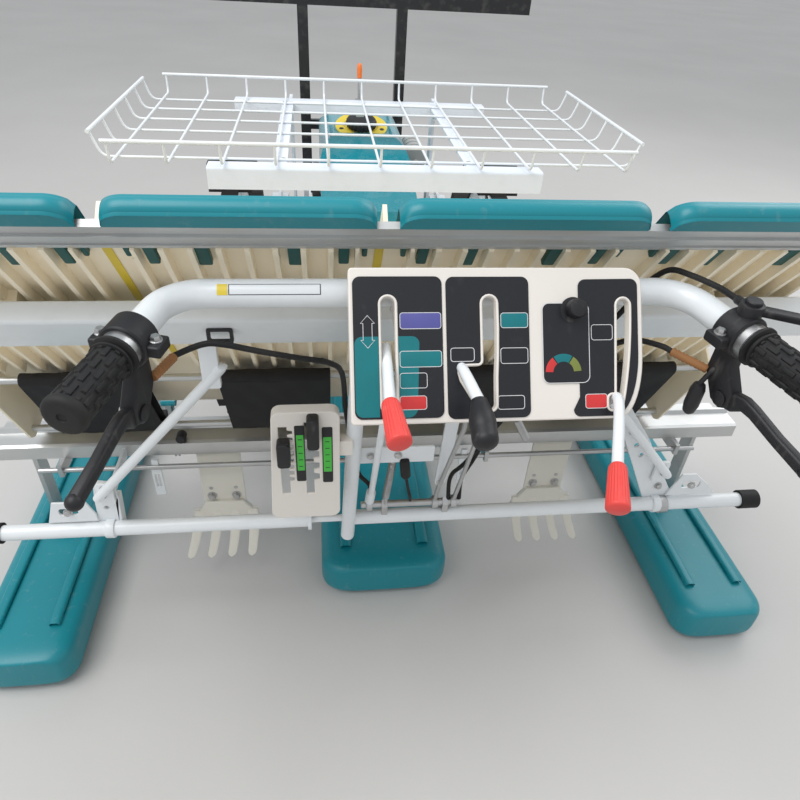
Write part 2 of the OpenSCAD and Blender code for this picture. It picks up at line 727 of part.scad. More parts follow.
left_boot = [leg(42, -9, -52), leg(6, -14, -52)];
right_boot = [leg(42, -8, -56), leg(6, -28, -53)];
hub = leg(52, 3, 0);
throttle_end = [leg(44, 3, 29), leg(30, 3, 29)];
module clutch_levers() color(black) place() in_handle() {
    mirror([1, 0, 0]) clutch_lever(left_boot);
    clutch_lever(right_boot);
    translate(hub + [0, 0, 20]) cylinder(r = 13, h = 16);
    translate(hub + [0, 0, 36]) cylinder(r = 9, h = 4);
    translate(hub + [0, 0, 29]) rotate([0, 0, -26]) bx(0, 78, -7, 7, -4, 4);
    rod(throttle_end[0], throttle_end[1], 5);
    rod(leg(50, -8, -48), leg(50, -20, -72), 3);
    rod(leg(50, -20, -68), leg(50, -20, -112), 9);
}

// PANEL

slot_a = [31, 47, 27, 147];
slot_b = [139, 154, 27, 149];
slot_c = [287, 303, 30, 150];
notch_b = [109, 141, 94, 112];
notch_c = [276, 290, 110, 134];
slots = [slot_a, slot_b, slot_c, notch_b, notch_c];
// outline of the panel, its right side rounded more at the foot; k is how far inside it lies
function panel_outline(k) = concat([[-2 + k, 158 - k], [-2 + k, -4 + k]],
    arc([298, 16], 20 - k, 270, 360), arc([268, 108], 50 - k, 0, 90, 8));
module cut(s, z0, z1, grow)
    translate([s[0] - grow, s[2] - grow, z0])
        cube([s[1] - s[0] + 2 * grow, s[3] - s[2] + 2 * grow, z1 - z0]);

module panel() color(white) place() {
    on_panel() difference() {
        union() {
            difference() {
                linear_extrude(panel_t) polygon(panel_outline(0));
                translate([0, 0, 3]) linear_extrude(panel_t) polygon(panel_outline(3));
            }
            for (s = slots) cut(s, -2.5, 1, 3);
        }
        for (s = slots) cut(s, -5, 10, 0);
    }
    for (x = [-40, 120, 178]) difference() {
        union() {
            xcyl(22, x, x + 12, 0, handle_z);
            xprism([[-55.5, 807], [6, handle_z + 20], [10, handle_z - 20], [-85.5, 767]], x, x + 12);
        }
        xcyl(handle_d / 2, x - 1, x + 20, 0, handle_z);
    }
}

// legend plates [x0, x1, y0, y1]
legends = [[3, 96, 6, 153], [100, 188, 6, 154], [204, 256, 33, 115], [246, 311, 8, 146]];
module panel_labels() color([0.12, 0.12, 0.15]) place() on_panel()
    difference() {
        for (l = legends) translate([0, 0, -1]) linear_extrude(1)
            polygon(rounded(l[0], l[1], l[2], l[3], 7));
        for (s = slots) cut(s, -5, 5, 3);
        translate([240, 100, -5]) cube([18, 60, 15]);
    }

// levers: point behind the panel, bend before it, knob root, knob tip
knob_r = 13;
lever_a = [[-50, -60, 765], [-52, -106, 762], [-54, -150, 758], [-49, -203, 747]];
lever_b = [[28, -60, 742], [28, -98, 759], [35, -150, 756], [33, -203, 740]];
lever_c = [[197, -80, 748], [194, -122, 740], [178, -190, 700], [162, -240, 686]];

// rear and front faces of the whole machine, and the middle between them
knob_u = (lever_c[3] - lever_c[2]) / norm(lever_c[3] - lever_c[2]);
y_rear = lever_c[3][1] - knob_r * sqrt(1 - knob_u[1] * knob_u[1]);
y_mid = (y_rear + guard_y + guard_t) / 2;

module stem(l) {
    u = (l[3] - l[2]) / norm(l[3] - l[2]);
    path([l[0], l[1], l[2] - u * 8, l[2] + u * 30], 5);
}

module knob(l) {
    u = (l[3] - l[2]) / norm(l[3] - l[2]);
    difference() {
        union() {
            rod(l[2], l[3], knob_r);
            rod(l[2] + u * 8, l[3] - u * 7, knob_r + 1);
        }
        rod(l[2] - u, l[2] + u * 30, 5);
    }
}

module red_knobs() color(red) place() {
    knob(lever_a);
    knob(lever_c);
}

module black_knobs() color(black) place() {
    knob(lever_b);
    on_panel() translate([239, 42, -20]) cylinder(r = 9.5, h = 19);
    bx(-184, -166, 14, adj_y - 2, 520, 546);
    bx(-177.5, -172.5, adj_y - 3, adj_y + 6, 528, 538);
    bx(-142, -124, 14, adj_y - 2, 555, 584);
    bx(-137.5, -130.5, adj_y - 3, adj_y + 6, 564, 574);
}

// DEPTH AND FEED ADJUSTER

adj_y = 32;
adj_x = [-190, -97];
adj_z = [406, 600];
// its slots, each the left and right side
adj_slots = [[-178, -172], [-138, -130]];
function adj_outline(k) = rounded(adj_x[0] + k, adj_x[1] - k, adj_z[0] + k, adj_z[1] - k, 13 - k);
function slot_outline(a, k) = rounded(a[0] - k, a[1] + k, 458 - k, 586 + k, 3 + k);
module adjuster_plate() color(white) place() {
    difference() {
        union() {
            difference() {
                yprism(adj_outline(0), adj_y, adj_y + 18);
                yprism(adj_outline(3), adj_y + 3, adj_y + 19);
            }
            for (a = adj_slots) yprism(slot_outline(a, 3), adj_y - 2, adj_y + 3);
        }
        for (a = adj_slots) yprism(slot_outline(a, 0), adj_y - 3, adj_y + 5);
    }
    difference() {
        bx(-97, -78, adj_y + 6, adj_y + 24, 520, 550);
        rod(col_foot, col_top, 11.5);
    }
}

// FLOATS

float_side = [[0, 34], [18, 14], [60, 0], [700, 0], [800, 22], [880, 70], [900, 100],
    [880, 106], [800, 100], [700, float_h], [60, float_h], [12, 70]];
module float_body(side, plan)
    intersection() {
        xprism(side, -300, 300);
        linear_extrude(200) polygon(plan);
    }

module side_floats() color(teal) place() both()
    translate([side_float_x, 22, 0]) {
        w = side_float_w / 2;
        float_body(float_side, [[-w * 0.5, 0], [w * 0.5, 0], [w * 0.86, 20], [w, 70], [w, 760],
            [w * 0.8, 860], [w * 0.4, 900], [-w * 0.4, 900], [-w * 0.8, 860], [-w, 760],
            [-w, 70], [-w * 0.86, 20]]);
        for (x = [-50, 50]) xprism([[90, float_h - 1], [110, 102], [660, 102], [700, float_h - 2]],
            x - 9, x + 9);
        bx(-14, 14, 285, 325, float_h - 1, 112);
    }

centre_side = [[0, 44], [16, 18], [60, 0], [900, 0], [1040, 20], [1130, 60], [1170, 106],
    [1150, 118], [1060, 108], [900, float_h], [60, float_h], [14, 74]];
module centre_float() color(teal) place() translate([0, 180, 0]) {
    w = centre_float_w / 2;
    float_body(centre_side, [[-w * 0.6, 0], [w * 0.6, 0], [w * 0.9, 22], [w, 70], [w, 560],
        [190, 680], [190, 1060], [150, 1140], [80, 1170], [-80, 1170], [-150, 1140],
        [-190, 1060], [-190, 680], [-w, 560], [-w, 70], [-w * 0.9, 22]]);
    for (x = [-80, 80]) xprism([[90, float_h - 1], [110, 102], [860, 102], [890, float_h - 2]],
        x - 11, x + 11);
    bx(-14, 14, 460, 500, float_h - 1, 112);
    bx(-14, 14, 840, 880, float_h - 1, 112);
}

module float_brackets() color(steel) place() {
    both() bx(side_float_x - 4, side_float_x + 4, 310, 344, 112, rail_z);
    both() bx(side_float_x - 20, side_float_x + 20, 310, 344, rail_z - 6, rail_z);
    bx(-4, 4, 645, 675, 112, tube_z0);
    bx(-20, 20, 640, 680, tube_z0 - 6, tube_z0);
    bx(-4, 4, 1025, 1055, 112, tube_z0);
}

// CONTROLS

module control_linkage() color(steel) place() {
    stem(lever_a);
    stem(lever_b);
    stem(lever_c);
    difference() {
        for (x = [-40, 60]) bx(x - 6, x + 6, bar_y - 8, bar_y + 8, bar_z, 336);
        xcyl(bar_d / 2, -80, 200, bar_y, bar_z);
    }
    xcyl(6, -60, 110, bar_y, 341);
    path([lever_a[0], [-48, -8, 700], [-52, 60, 560], [-56, bar_y - 2, 341]], 4);
    path([lever_b[0], [28, 10, 690], [26, bar_y - 2, 341]], 4);
    path([lever_c[0], [120, 20, 670], [98, bar_y - 2, 341]], 4);
    xprism([[40, 620], [62, 620], [126, 344], [106, 335]], 66, 84);
    bx(-60, 66, 74, 80, 470, 500);
}

// cables, from the boot at a grip to the linkage; side is 1 on the right and -1 on the left
function from_handle(p, side) = [handle_x + side * p[0],
    p[1] * cos(grip_droop) - p[2] * sin(grip_droop),
    handle_z + p[1] * sin(grip_droop) + p[2] * cos(grip_droop)];
function past(a, b, k) = b + (b - a) * k;
module control_cables() color(black) place() {
    path([from_handle(left_boot[1], -1), from_handle(past(left_boot[0], left_boot[1], 0.35), -1),
        [-254, -28, 752], [-226, -26, 749], [-186, -20, 735], [-144, -10, 719], [-110, 0, 705],
        [-94, 24, 672], [-88, 60, 590], [-80, 80, 520], [-66, 100, 430], [-46, bar_y, 385],
        [-46, bar_y, 347]], 3.5);
    path([from_handle(right_boot[1], 1), from_handle(past(right_boot[0], right_boot[1], 0.5), 1),
        [258, -8, 736], [236, 18, 706], [206, 46, 660], [170, 70, 600], [110, 100, 450],
        [89, bar_y, 400], [89, bar_y, 347]], 3.5);
    path([from_handle(throttle_end[1], 1), from_handle(past(throttle_end[0], throttle_end[1], 0.5), 1),
        [322, -40, 824], [306, -8, 823], [294, 16, 818], [282, 30, 798], [267, 32, 770], [246, 38, 730], [215, 62, 680], [166, 92, 600], [122, 106, 450],
        [108, bar_y, 395], [108, bar_y, 347]], 3.5);
}

main_frame();
transmission();
engine();
muffler();
bonnet();
fuel_cap();
front_guard();
rack_frame();
rack_basket();
centre_marker();
wheel_arms();
wheel_left();
lugs_left();
wheel_right();
lugs_right();
lift_cylinder();
planter_case();
planting_cranks();
planting_arms();
planting_claws();
lower_rail();
seedling_gates();
feed_shafts();
seedling_table();
mat_dividers();
extension_plates();
table_rail();
feed_belts();
support_channel();
rear_bar();
bar_caps();
rear_brackets();
handle();
grips();
clutch_levers();
panel();
panel_labels();
red_knobs();
black_knobs();
adjuster_plate();
soil_combs();
centre_float();
side_floats();
float_brackets();
control_linkage();
control_cables();
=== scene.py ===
import json
from math import cos, pi, radians, sin, sqrt

import bmesh
import bpy
import numpy as np
from mathutils import Matrix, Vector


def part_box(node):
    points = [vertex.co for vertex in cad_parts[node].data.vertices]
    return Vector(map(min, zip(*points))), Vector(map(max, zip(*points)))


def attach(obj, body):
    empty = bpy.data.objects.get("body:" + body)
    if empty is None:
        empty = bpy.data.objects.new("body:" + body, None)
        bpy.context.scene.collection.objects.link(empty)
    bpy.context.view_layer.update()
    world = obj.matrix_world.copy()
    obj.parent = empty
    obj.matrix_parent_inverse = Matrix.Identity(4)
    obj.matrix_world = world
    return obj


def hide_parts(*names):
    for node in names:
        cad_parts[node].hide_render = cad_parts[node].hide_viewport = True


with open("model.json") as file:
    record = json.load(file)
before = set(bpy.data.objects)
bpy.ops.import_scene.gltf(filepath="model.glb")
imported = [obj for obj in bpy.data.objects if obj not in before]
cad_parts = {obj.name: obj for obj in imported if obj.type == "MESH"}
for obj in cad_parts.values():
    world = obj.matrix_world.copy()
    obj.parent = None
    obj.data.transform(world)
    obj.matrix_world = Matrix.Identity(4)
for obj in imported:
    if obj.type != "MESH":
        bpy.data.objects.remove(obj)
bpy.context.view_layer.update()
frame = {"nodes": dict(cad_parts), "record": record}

# A walk-behind rice transplanter, dressed for a studio picture from behind its handle.
# Lengths below are written in millimetres in the lip frame, X right, Y to the front from the
# table's upper lip, Z up, and place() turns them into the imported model's metres.

MM = 0.001
BAR_Y = 115.0
# The model's y = 0 in the lip frame, from the caps of the rear tube, which lies at BAR_Y.
MIDDLE = BAR_Y - 1000 * sum(corner[1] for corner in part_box("bar_caps")) / 2
LIP_Z = 886.0
SLOPE = radians(53)
TABLE_X = -46.0
ROW_PITCH = 300.0
MATS = [ROW_PITCH * (row - 1.5) for row in range(4)]


def level(x, y, z):
    """Level plane: points from x right, y forward, z up, each a number or an array."""
    return np.stack(np.broadcast_arrays(x, y, z), -1).astype(float)


def sideways(y, z, x):
    """Plane across X: y forward, z up, x as its depth."""
    return level(x, y, z)


def upright(x, z, out):
    """Plane across Y: x right, z up, out toward the operator as its depth."""
    return level(x, -out, z)


def place(points):
    """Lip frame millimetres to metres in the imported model's frame."""
    return (np.asarray(points, float) - np.array([0, MIDDLE, 0])) * MM


def slope_frame(x, s, n):
    """Point of the leaning table: x across, s down the slope, n out of the seedling side."""
    return level(x, s * cos(SLOPE) + n * sin(SLOPE), LIP_Z - s * sin(SLOPE) + n * cos(SLOPE))


def on_table(x, s, n):
    """The same for what slides with the table, which stands a little to the left."""
    return slope_frame(x + TABLE_X, s, n)


PANEL_AT = np.array([-88.0, -33.0, 840.0])
PANEL_TILT = radians(53.4)


def on_panel(x, y, out):
    """Point of the lever panel: x right, y down its face, out toward the operator."""
    c, s = cos(PANEL_TILT), sin(PANEL_TILT)
    return PANEL_AT + level(x, -c * y - s * out, -s * y + c * out)


# MATERIALS


class Wire:
    """A socket of a material. Its sums and products add Math nodes."""

    def __init__(self, tree, socket):
        self.tree = tree
        self.socket = socket

    def joined(self, operation, other, clamp=False):
        """A Math node of this socket and a number or another wire."""
        node = self.tree.nodes.new("ShaderNodeMath")
        node.operation = operation
        node.use_clamp = clamp
        plug(self.tree, node.inputs[0], self)
        plug(self.tree, node.inputs[1], other)
        return Wire(self.tree, node.outputs[0])

    def __add__(self, other):
        return self.joined("ADD", other)

    __radd__ = __add__

    def __sub__(self, other):
        return self.joined("SUBTRACT", other)

    def __mul__(self, other):
        return self.joined("MULTIPLY", other)


def plug(tree, socket, value):
    """Links a wire to a socket, or sets the socket to a number, colour or vector."""
    if isinstance(value, Wire):
        tree.links.new(value.socket, socket)
    else:
        socket.default_value = value


def rgb(red, green, blue):
    """A screen colour of 0 to 255 as the linear colour that the shader takes."""
    def linear(v):
        v = v / 255
        return v / 12.92 if v <= 0.04045 else ((v + 0.055) / 1.055) ** 2.4
    return (linear(red), linear(green), linear(blue), 1.0)


FINISHES = {}


class Finish:
    """One material, kept by its name: a Principled shader and the nodes that feed it."""

    def __init__(self, name, **fixed):
        FINISHES[name] = bpy.data.materials.new(name)
        FINISHES[name].use_nodes = True
        self.tree = FINISHES[name].node_tree
        self.shader = self.tree.nodes["Principled BSDF"]
        self.where = self.node("ShaderNodeTexCoord", out="Object")
        self.set(**fixed)

    def node(self, kind, out=0, **values):
        """A new node of a kind, its sockets set or linked, and the output wanted."""
        node = self.tree.nodes.new(kind)
        for key, value in values.items():
            plug(self.tree, node.inputs[key.replace("_", " ")], value)
        return Wire(self.tree, node.outputs[out])

    def set(self, **values):
        """Sets or links sockets of the shader; an underscore stands for a space."""
        for key, value in values.items():
            plug(self.tree, self.shader.inputs[key.replace("_", " ")], value)

    def stretched(self, *scale):
        """Object coordinates with a scale for each axis."""
        return self.node("ShaderNodeMapping", Vector=self.where, Scale=scale)

    def noise(self, scale, detail=3.0, where=None):
        """Value of a noise, which is about 0.5 on the whole."""
        return self.node("ShaderNodeTexNoise", out="Fac", Vector=where or self.where,
                         Scale=scale, Detail=detail, Roughness=0.55)

    def patches(self, scale, detail, limit, gain, where=None):
        """Soft patches, 0 to 1, where a noise passes a limit."""
        past = (self.noise(scale, detail, where) - limit) * gain
        return past.joined("ADD", 0.0, clamp=True)

    def blend(self, factor, first, second):
        """Colour between two, by a factor of 0 to 1."""
        node = self.tree.nodes.new("ShaderNodeMix")
        node.data_type = "RGBA"
        plug(self.tree, node.inputs[0], factor)
        plug(self.tree, node.inputs[6], first)
        plug(self.tree, node.inputs[7], second)
        return Wire(self.tree, node.outputs[2])

    def bump(self, height, strength, distance):
        """Small relief in the shading; distance is in metres."""
        self.set(Normal=self.node("ShaderNodeBump", Height=height, Strength=strength,
                                  Distance=distance))


def shade(colour, factor):
    """The colour, lighter or darker."""
    return (colour[0] * factor, colour[1] * factor, colour[2] * factor, 1.0)


def paint(name, colour, rough=0.35, coat=0.25):
    """Sprayed paint: soft cloudy tone, faint orange peel, thin dust in patches."""
    f = Finish(name, Coat_Weight=coat, Coat_Roughness=0.15)
    dust = f.patches(38.0, 5.0, 0.52, 4.0)
    base = f.blend(f.noise(6.0), shade(colour, 0.93), shade(colour, 1.05))
    f.set(Base_Color=f.blend(dust * 0.1, base, rgb(186, 182, 174)), Roughness=rough + dust * 0.2)
    f.bump(f.noise(420.0, 1.0), 0.12, 0.0004)


def moulded(name, colour, rough=0.4, grain=0.0006, tint=0.9, wear=0.12):
    """Moulded plastic: flow marks in the tone, fine grain, a little scuffing."""
    f = Finish(name, Specular_IOR_Level=0.45)
    flow = f.noise(4.0, 4.0, f.stretched(1, 3, 1))
    scuff = f.patches(70.0, 6.0, 0.6, 5.0, f.stretched(1, 1, 0.3))
    base = f.blend(flow, shade(colour, tint), shade(colour, 1.06))
    f.set(Base_Color=f.blend(scuff * wear, base, rgb(205, 200, 190)),
          Roughness=rough + f.noise(22.0) * 0.12 + scuff * 0.15)
    f.bump(f.noise(900.0, 2.0), 0.25, grain)


def rubber(name, colour, rough=0.62):
    """Black rubber with chalky dust and a fine matt grain."""
    f = Finish(name, Specular_IOR_Level=0.35)
    chalk = f.patches(18.0, 6.0, 0.5, 3.0)
    f.set(Base_Color=f.blend(chalk * 0.3, colour, rgb(92, 88, 82)), Roughness=rough + chalk * 0.2)
    f.bump(f.noise(650.0, 3.0), 0.3, 0.0005)


def metal(name, colour, rough, along=(40.0, 1.0, 1.0), stain=0.3):
    """Bare or plated metal, drawn along one direction, with dull clouds on it."""
    f = Finish(name, Metallic=1.0)
    drawn = f.noise(30.0, 4.0, f.stretched(*along))
    cloud = f.patches(9.0, 6.0, 0.45, 3.0)
    f.set(Base_Color=f.blend(cloud * stain, colour, rgb(120, 116, 108)),
          Roughness=rough + drawn * 0.14 + cloud * 0.12)
    f.bump(drawn, 0.12, 0.0004)


def printed(name, colour):
    """Flat ink on a plastic film: a faint mottle and a soft gloss."""
    f = Finish(name, Roughness=0.38)
    f.set(Base_Color=f.blend(f.noise(40.0, 4.0), shade(colour, 0.9), shade(colour, 1.1)))


paint("white_paint", rgb(230, 234, 236))
paint("teal_paint", rgb(14, 134, 148), 0.25, 0.5)
paint("black_paint", rgb(24, 24, 27), 0.4, 0.15)
paint("silver_paint", rgb(170, 170, 168), 0.45, 0.0)
moulded("cream_plastic", rgb(226, 210, 170), 0.42)
moulded("teal_plastic", rgb(18, 130, 142), 0.3, 0.0002)
moulded("black_plastic", rgb(28, 28, 31), 0.42)
moulded("red_plastic", rgb(226, 74, 68), 0.38, 0.0003)
rubber("black_rubber", rgb(26, 26, 27))
rubber("lug_rubber", rgb(30, 28, 27), 0.7)
paint("grey_cast", rgb(142, 146, 150), 0.5, 0.05)
moulded("panel_plastic", rgb(226, 220, 212), 0.35, 0.0003, 0.95)
moulded("black_film", rgb(27, 28, 33), 0.3, 0.0001, 0.92, 0.02)
moulded("comb_plastic", rgb(222, 218, 206), 0.35, 0.0003, 0.93)
# Painted light: white paint tinted blue to cancel the warm light that bounces onto the rack from the
# cream deck.
paint("rack_white_against_bounce_light", rgb(226, 232, 240))
# Painted shade: a darker copy of the teal plastic, for the tongue ends in shade between the deck's
# ribs.
moulded("teal_painted_shade", rgb(4, 84, 80), 0.4)
# The deck's own cream colour, lightened as painted light for the light that shines through the thin
# deck.
moulded("deck_plastic_painted_light", rgb(252, 240, 214), 0.4, 0.0004, 0.96)
rubber("belt_cloth", rgb(34, 33, 34), 0.7)
rubber("tan_rubber", rgb(150, 104, 62), 0.6)
metal("engine_metal", rgb(120, 120, 122), 0.5, (3, 3, 3), 0.6)
metal("bright_steel", rgb(196, 196, 196), 0.3)
metal("rail_aluminium", rgb(205, 206, 205), 0.36, (1.0, 60.0, 60.0), 0.15)
printed("teal_print", rgb(0, 112, 118))
printed("violet_print", rgb(84, 84, 150))
printed("red_print", rgb(206, 52, 52))
printed("olive_print", rgb(120, 128, 60))
printed("white_print", rgb(214, 214, 214))
printed("yellow_print", rgb(226, 200, 62))
printed("green_print", rgb(70, 190, 66))
paint("orange_paint", rgb(236, 120, 40), 0.4)

# The deck's nodes take the lightened cream finish, which is painted light, in place of their slot's
# material.
DECK_NODES = ("seedling_table", "mat_dividers")
for subpart in frame["record"]["subparts"]:
    mesh = frame["nodes"][subpart["node"]].data
    on_deck = subpart["node"] in DECK_NODES
    mesh.materials.clear()
    mesh.materials.append(FINISHES["deck_plastic_painted_light" if on_deck else subpart["material_slot"]])


# SURFACES


def unit(v):
    """Vectors at length 1."""
    v = np.asarray(v, float)
    return v / np.linalg.norm(v, axis=-1, keepdims=True)


def circle(sides):
    """Angles of a full turn, each once."""
    return np.linspace(0, 2 * pi, sides, endpoint=False)


def square_to(axis):
    """Unit vector square to an axis, from the world axis that is farthest from it."""
    return unit(np.cross(axis, np.eye(3)[np.argmin(np.abs(axis))]))


def held(v):
    """Values held between 0 and 1."""
    return np.clip(v, 0, 1)


def fuller(wave, power):
    """Sine or cosine with fuller swings, sign(w) |w|^power: rings become superellipses."""
    return np.sign(wave) * np.abs(wave) ** power


def domed(t, start, span, power, least):
    """Domed end: 1 up to a start, then sqrt(1 - ((t - start) / span)^power), with a least square."""
    return np.sqrt(np.clip(1 - ((t - start) / span).clip(0) ** power, least, 1))


def pair(side, near, far, middle=0.0):
    """Two places on one side of a middle, the smaller first."""
    return sorted((middle + side * near, middle + side * far))


def collar(length, bore, outside, edge=1):
    """Profile of a turned collar or rod with bevelled edges, for lathe()."""
    return [(0, bore), (0, outside - edge), (edge, outside), (length - edge, outside),
            (length, outside - edge), (length, bore)]


def arc(centre, radius, first, last, steps=8):
    """centre + radius (cos a, sin a), for a from first to last in degrees."""
    a = np.radians(np.linspace(first, last, steps + 1))
    return np.asarray(centre, float) + radius * np.stack([np.cos(a), np.sin(a)], -1)


def rounded(x0, x1, y0, y1, r):
    """Rectangle with four round corners."""
    return np.vstack([arc([x1 - r, y1 - r], r, 0, 90), arc([x0 + r, y1 - r], r, 90, 180),
                      arc([x0 + r, y0 + r], r, 180, 270), arc([x1 - r, y0 + r], r, 270, 360)])


def inset(outline, d):
    """Outline moved inward by d along the mitre of its two edge normals at each point."""
    before = unit(outline - np.roll(outline, 1, 0) + 1e-9)
    after = unit(np.roll(outline, -1, 0) - outline + 1e-9)
    turn = np.stack([-(before + after)[:, 1], (before + after)[:, 0]], -1)
    reach = np.clip(np.sum(turn * turn, -1, keepdims=True) / 2, 0.6, 2.0)
    x, y = outline[:, 0], outline[:, 1]
    area = np.sum(x * np.roll(y, -1) - np.roll(x, -1) * y)
    return outline + np.sign(area) * d * turn / reach


def through(points, steps=8):
    """Catmull-Rom curve, (2b + (c-a)t + (2a-5b+4c-d)t^2 + (3b-a-3c+d)t^3) / 2 on each stretch."""
    p = np.asarray(points, float)
    p = np.vstack([2 * p[0] - p[1], p, 2 * p[-1] - p[-2]])
    a, b, c, d = p[:-3], p[1:-2], p[2:-1], p[3:]
    t = np.linspace(0, 1, steps, endpoint=False)[:, None, None]
    curve = 2 * b + (c - a) * t + (2 * a - 5 * b + 4 * c - d) * t ** 2
    curve = (curve + (3 * b - a - 3 * c + d) * t ** 3) / 2
    return np.vstack([curve.transpose(1, 0, 2).reshape(-1, 3), p[-2:-1]])


def bent(points, radius, steps=5):
    """Straight stretches with each corner b cut back by radius: (1-t)^2 a + 2t(1-t) b + t^2 c."""
    p = np.asarray(points, float)
    corner, to_last, to_next = p[1:-1], unit(p[:-2] - p[1:-1]), unit(p[2:] - p[1:-1])
    t = np.linspace(0, 1, steps + 1)[:, None, None]
    a, c = corner + radius * to_last, corner + radius * to_next
    turns = (1 - t) ** 2 * a + 2 * t * (1 - t) * corner + t ** 2 * c
    return np.vstack([p[:1], turns.transpose(1, 0, 2).reshape(-1, 3), p[-1:]])


def frames(route):
    """Unit vectors across a route at each point, turned as little as its bends allow."""
    ahead = unit(np.gradient(route, axis=0))
    side = [square_to(ahead[0])]
    for direction in ahead[1:]:
        side.append(unit(side[-1] - direction * np.dot(side[-1], direction)))
    side = np.array(side)
    return side, np.cross(ahead, side)


CREASE = radians(38)


def linked(name, data):
    """New object in the scene."""
    made = bpy.data.objects.new(name, data)
    bpy.context.scene.collection.objects.link(made)
    return made


class Shape:
    """Grids of points in lip frame millimetres that become one piece."""

    def __init__(self):
        self.points = []
        self.faces = []
        self.total = 0

    def add(self, points, faces):
        """Points, and faces that count from the first of them."""
        self.faces += [[index + self.total for index in face] for face in faces]
        self.points.append(points)
        self.total += len(points)
        return self

    def grid(self, points, around=False, caps=False):
        """Sheet through rows of points; around closes each row, caps fill first and last."""
        points = np.asarray(points, float)
        rings = np.arange(points.shape[0] * points.shape[1]).reshape(points.shape[:2])
        index = np.hstack([rings, rings[:, :1]]) if around else rings
        quads = np.stack([index[:-1, :-1], index[:-1, 1:], index[1:, 1:], index[1:, :-1]], -1)
        faces = quads.reshape(-1, 4).tolist()
        if caps:
            faces += [rings[0].tolist(), rings[-1][::-1].tolist()]
        return self.add(points.reshape(-1, 3), faces)

    def tube(self, route, radius, sides=16):
        """Sweep: route(s) + radius(s) (cos a across + sin a over)."""
        route = np.asarray(route, float)
        across, over = frames(route)
        a = circle(sides)[None, :, None]
        radius = np.broadcast_to(radius, len(route))[:, None, None]
        ring = np.cos(a) * across[:, None] + np.sin(a) * over[:, None]
        return self.grid(route[:, None] + radius * ring, around=True, caps=True)

    def lathe(self, start, end, profile, sides=32):
        """Turned form: start + d axis + r (cos a, sin a) for each (d, r) of the profile."""
        start, axis = np.asarray(start, float), unit(np.asarray(end, float) - start)
        d, r = np.array(profile, float).T[:, :, None, None]
        across = square_to(axis)
        a = circle(sides)[None, :, None]
        ring = np.cos(a) * across + np.sin(a) * np.cross(axis, across)
        return self.grid(start + d * axis + r * ring, around=True, caps=True)

    def skirt(self, outline, steps, plane, caps=False):
        """Wall round an outline through (inset, height) steps. A plane is one of the functions that
    turn two places and a height over it into a point, such as level or upright."""
        outline = np.asarray(outline, float)
        rows = [plane(*inset(outline, d).T, height) for d, height in steps]
        return self.grid(rows, around=True, caps=caps)

    def plate(self, outline, low, high, plane, edge=0.8):
        """Outline from low to high in a plane, its upper and lower edges rounded by edge."""
        a = np.radians([0, 30, 60, 90])
        heights = np.r_[low + edge * (1 - np.cos(a)), high - edge * (1 - np.cos(a[::-1]))]
        insets = np.r_[edge * (1 - np.sin(a)), edge * (1 - np.sin(a[::-1]))]
        return self.skirt(outline, zip(insets, heights), plane, caps=True)

    def rim(self, outline, width, low, high, plane, edge=0.5):
        """Raised lip of a width round an outline, rounded over its top."""
        steps = [(-width, low), (-width, high - edge), (edge - width, high), (-edge, high),
                 (0.0, high - edge), (0.0, low)]
        return self.skirt(outline, steps, plane)

    def pierced(self, outline, holes, low, high, plane, edge=0.5):
        """Flat plate with holes and rims rounded by edge: a filled flat curve, put in a plane."""
        curve = bpy.data.curves.new("flat", "CURVE")
        curve.dimensions = "2D"
        curve.fill_mode = "BOTH"
        curve.extrude = (high - low) / 2 - edge
        curve.bevel_depth = edge
        curve.bevel_resolution = 2
        curve.offset = -edge
        for ring in [outline] + list(holes):
            ring = np.asarray(ring, float)
            spline = curve.splines.new("POLY")
            spline.use_cyclic_u = True
            spline.points.add(len(ring) - 1)
            flat = np.c_[ring, np.zeros(len(ring)), np.ones(len(ring))]
            spline.points.foreach_set("co", flat.ravel())
        holder = bpy.data.objects.new("flat", curve)
        made = bpy.data.meshes.new_from_object(holder)
        points = np.empty(3 * len(made.vertices))
        made.vertices.foreach_get("co", points)
        x, y, height = points.reshape(-1, 3).T
        faces = [list(face.vertices) for face in made.polygons]
        bpy.data.objects.remove(holder)
        bpy.data.meshes.remove(made)
        return self.add(plane(x, y, (low + high) / 2 + height), faces)

    def bolt(self, at, toward, across=10, head=5):
        """Hex head on a round washer, from a seat toward its outside."""
        at, out = np.asarray(at, float), unit(toward)
        washer = [(0, across * 0.72), (1.2, across * 0.72), (1.6, across * 0.6)]
        self.lathe(at, at + out, washer, 24)
        flat = across / sqrt(3)
        crown = [(1.6, flat), (head * 0.8, flat), (head, flat * 0.82), (head, 0.01)]
        return self.lathe(at, at + out, crown, 6)

    def piece(self, name, finish, body="chassis", slot=None, stands_for=()):
        """Ends the shape as a mesh object that rides on a body; its slot argument is not used."""
        mesh = bpy.data.meshes.new(name)
        mesh.from_pydata(place(np.vstack(self.points)).tolist(), [], self.faces)
        mesh.materials.append(FINISHES[finish])
        work = bmesh.new()
        work.from_mesh(mesh)
        bmesh.ops.recalc_face_normals(work, faces=work.faces)
        work.to_mesh(mesh)
        work.free()
        mesh.shade_smooth()
        mesh.set_sharp_from_angle(angle=CREASE)
        made = linked(name, mesh)
        slot = slot or finish
        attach(made, body)
        if stands_for:
            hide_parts(*stands_for)


# HANDLE, GRIPS AND CLUTCH LEVERS

HANDLE_X, HANDLE_Z = 14.0, 798.0
HANDLE_HALF = 256.0
HANDLE_BEND = 50.0
SPLAY = radians(15)
DROOP = radians(3)
TUBE_R = 16.0
GRIP_R = 19.0
GRIP_CORE = GRIP_R - 1.4
GRIP_START, GRIP_END = 78.0, 166.0
LEG_X = HANDLE_HALF + HANDLE_BEND * cos(SPLAY)
LEG_Y = -HANDLE_BEND * (1 - sin(SPLAY))


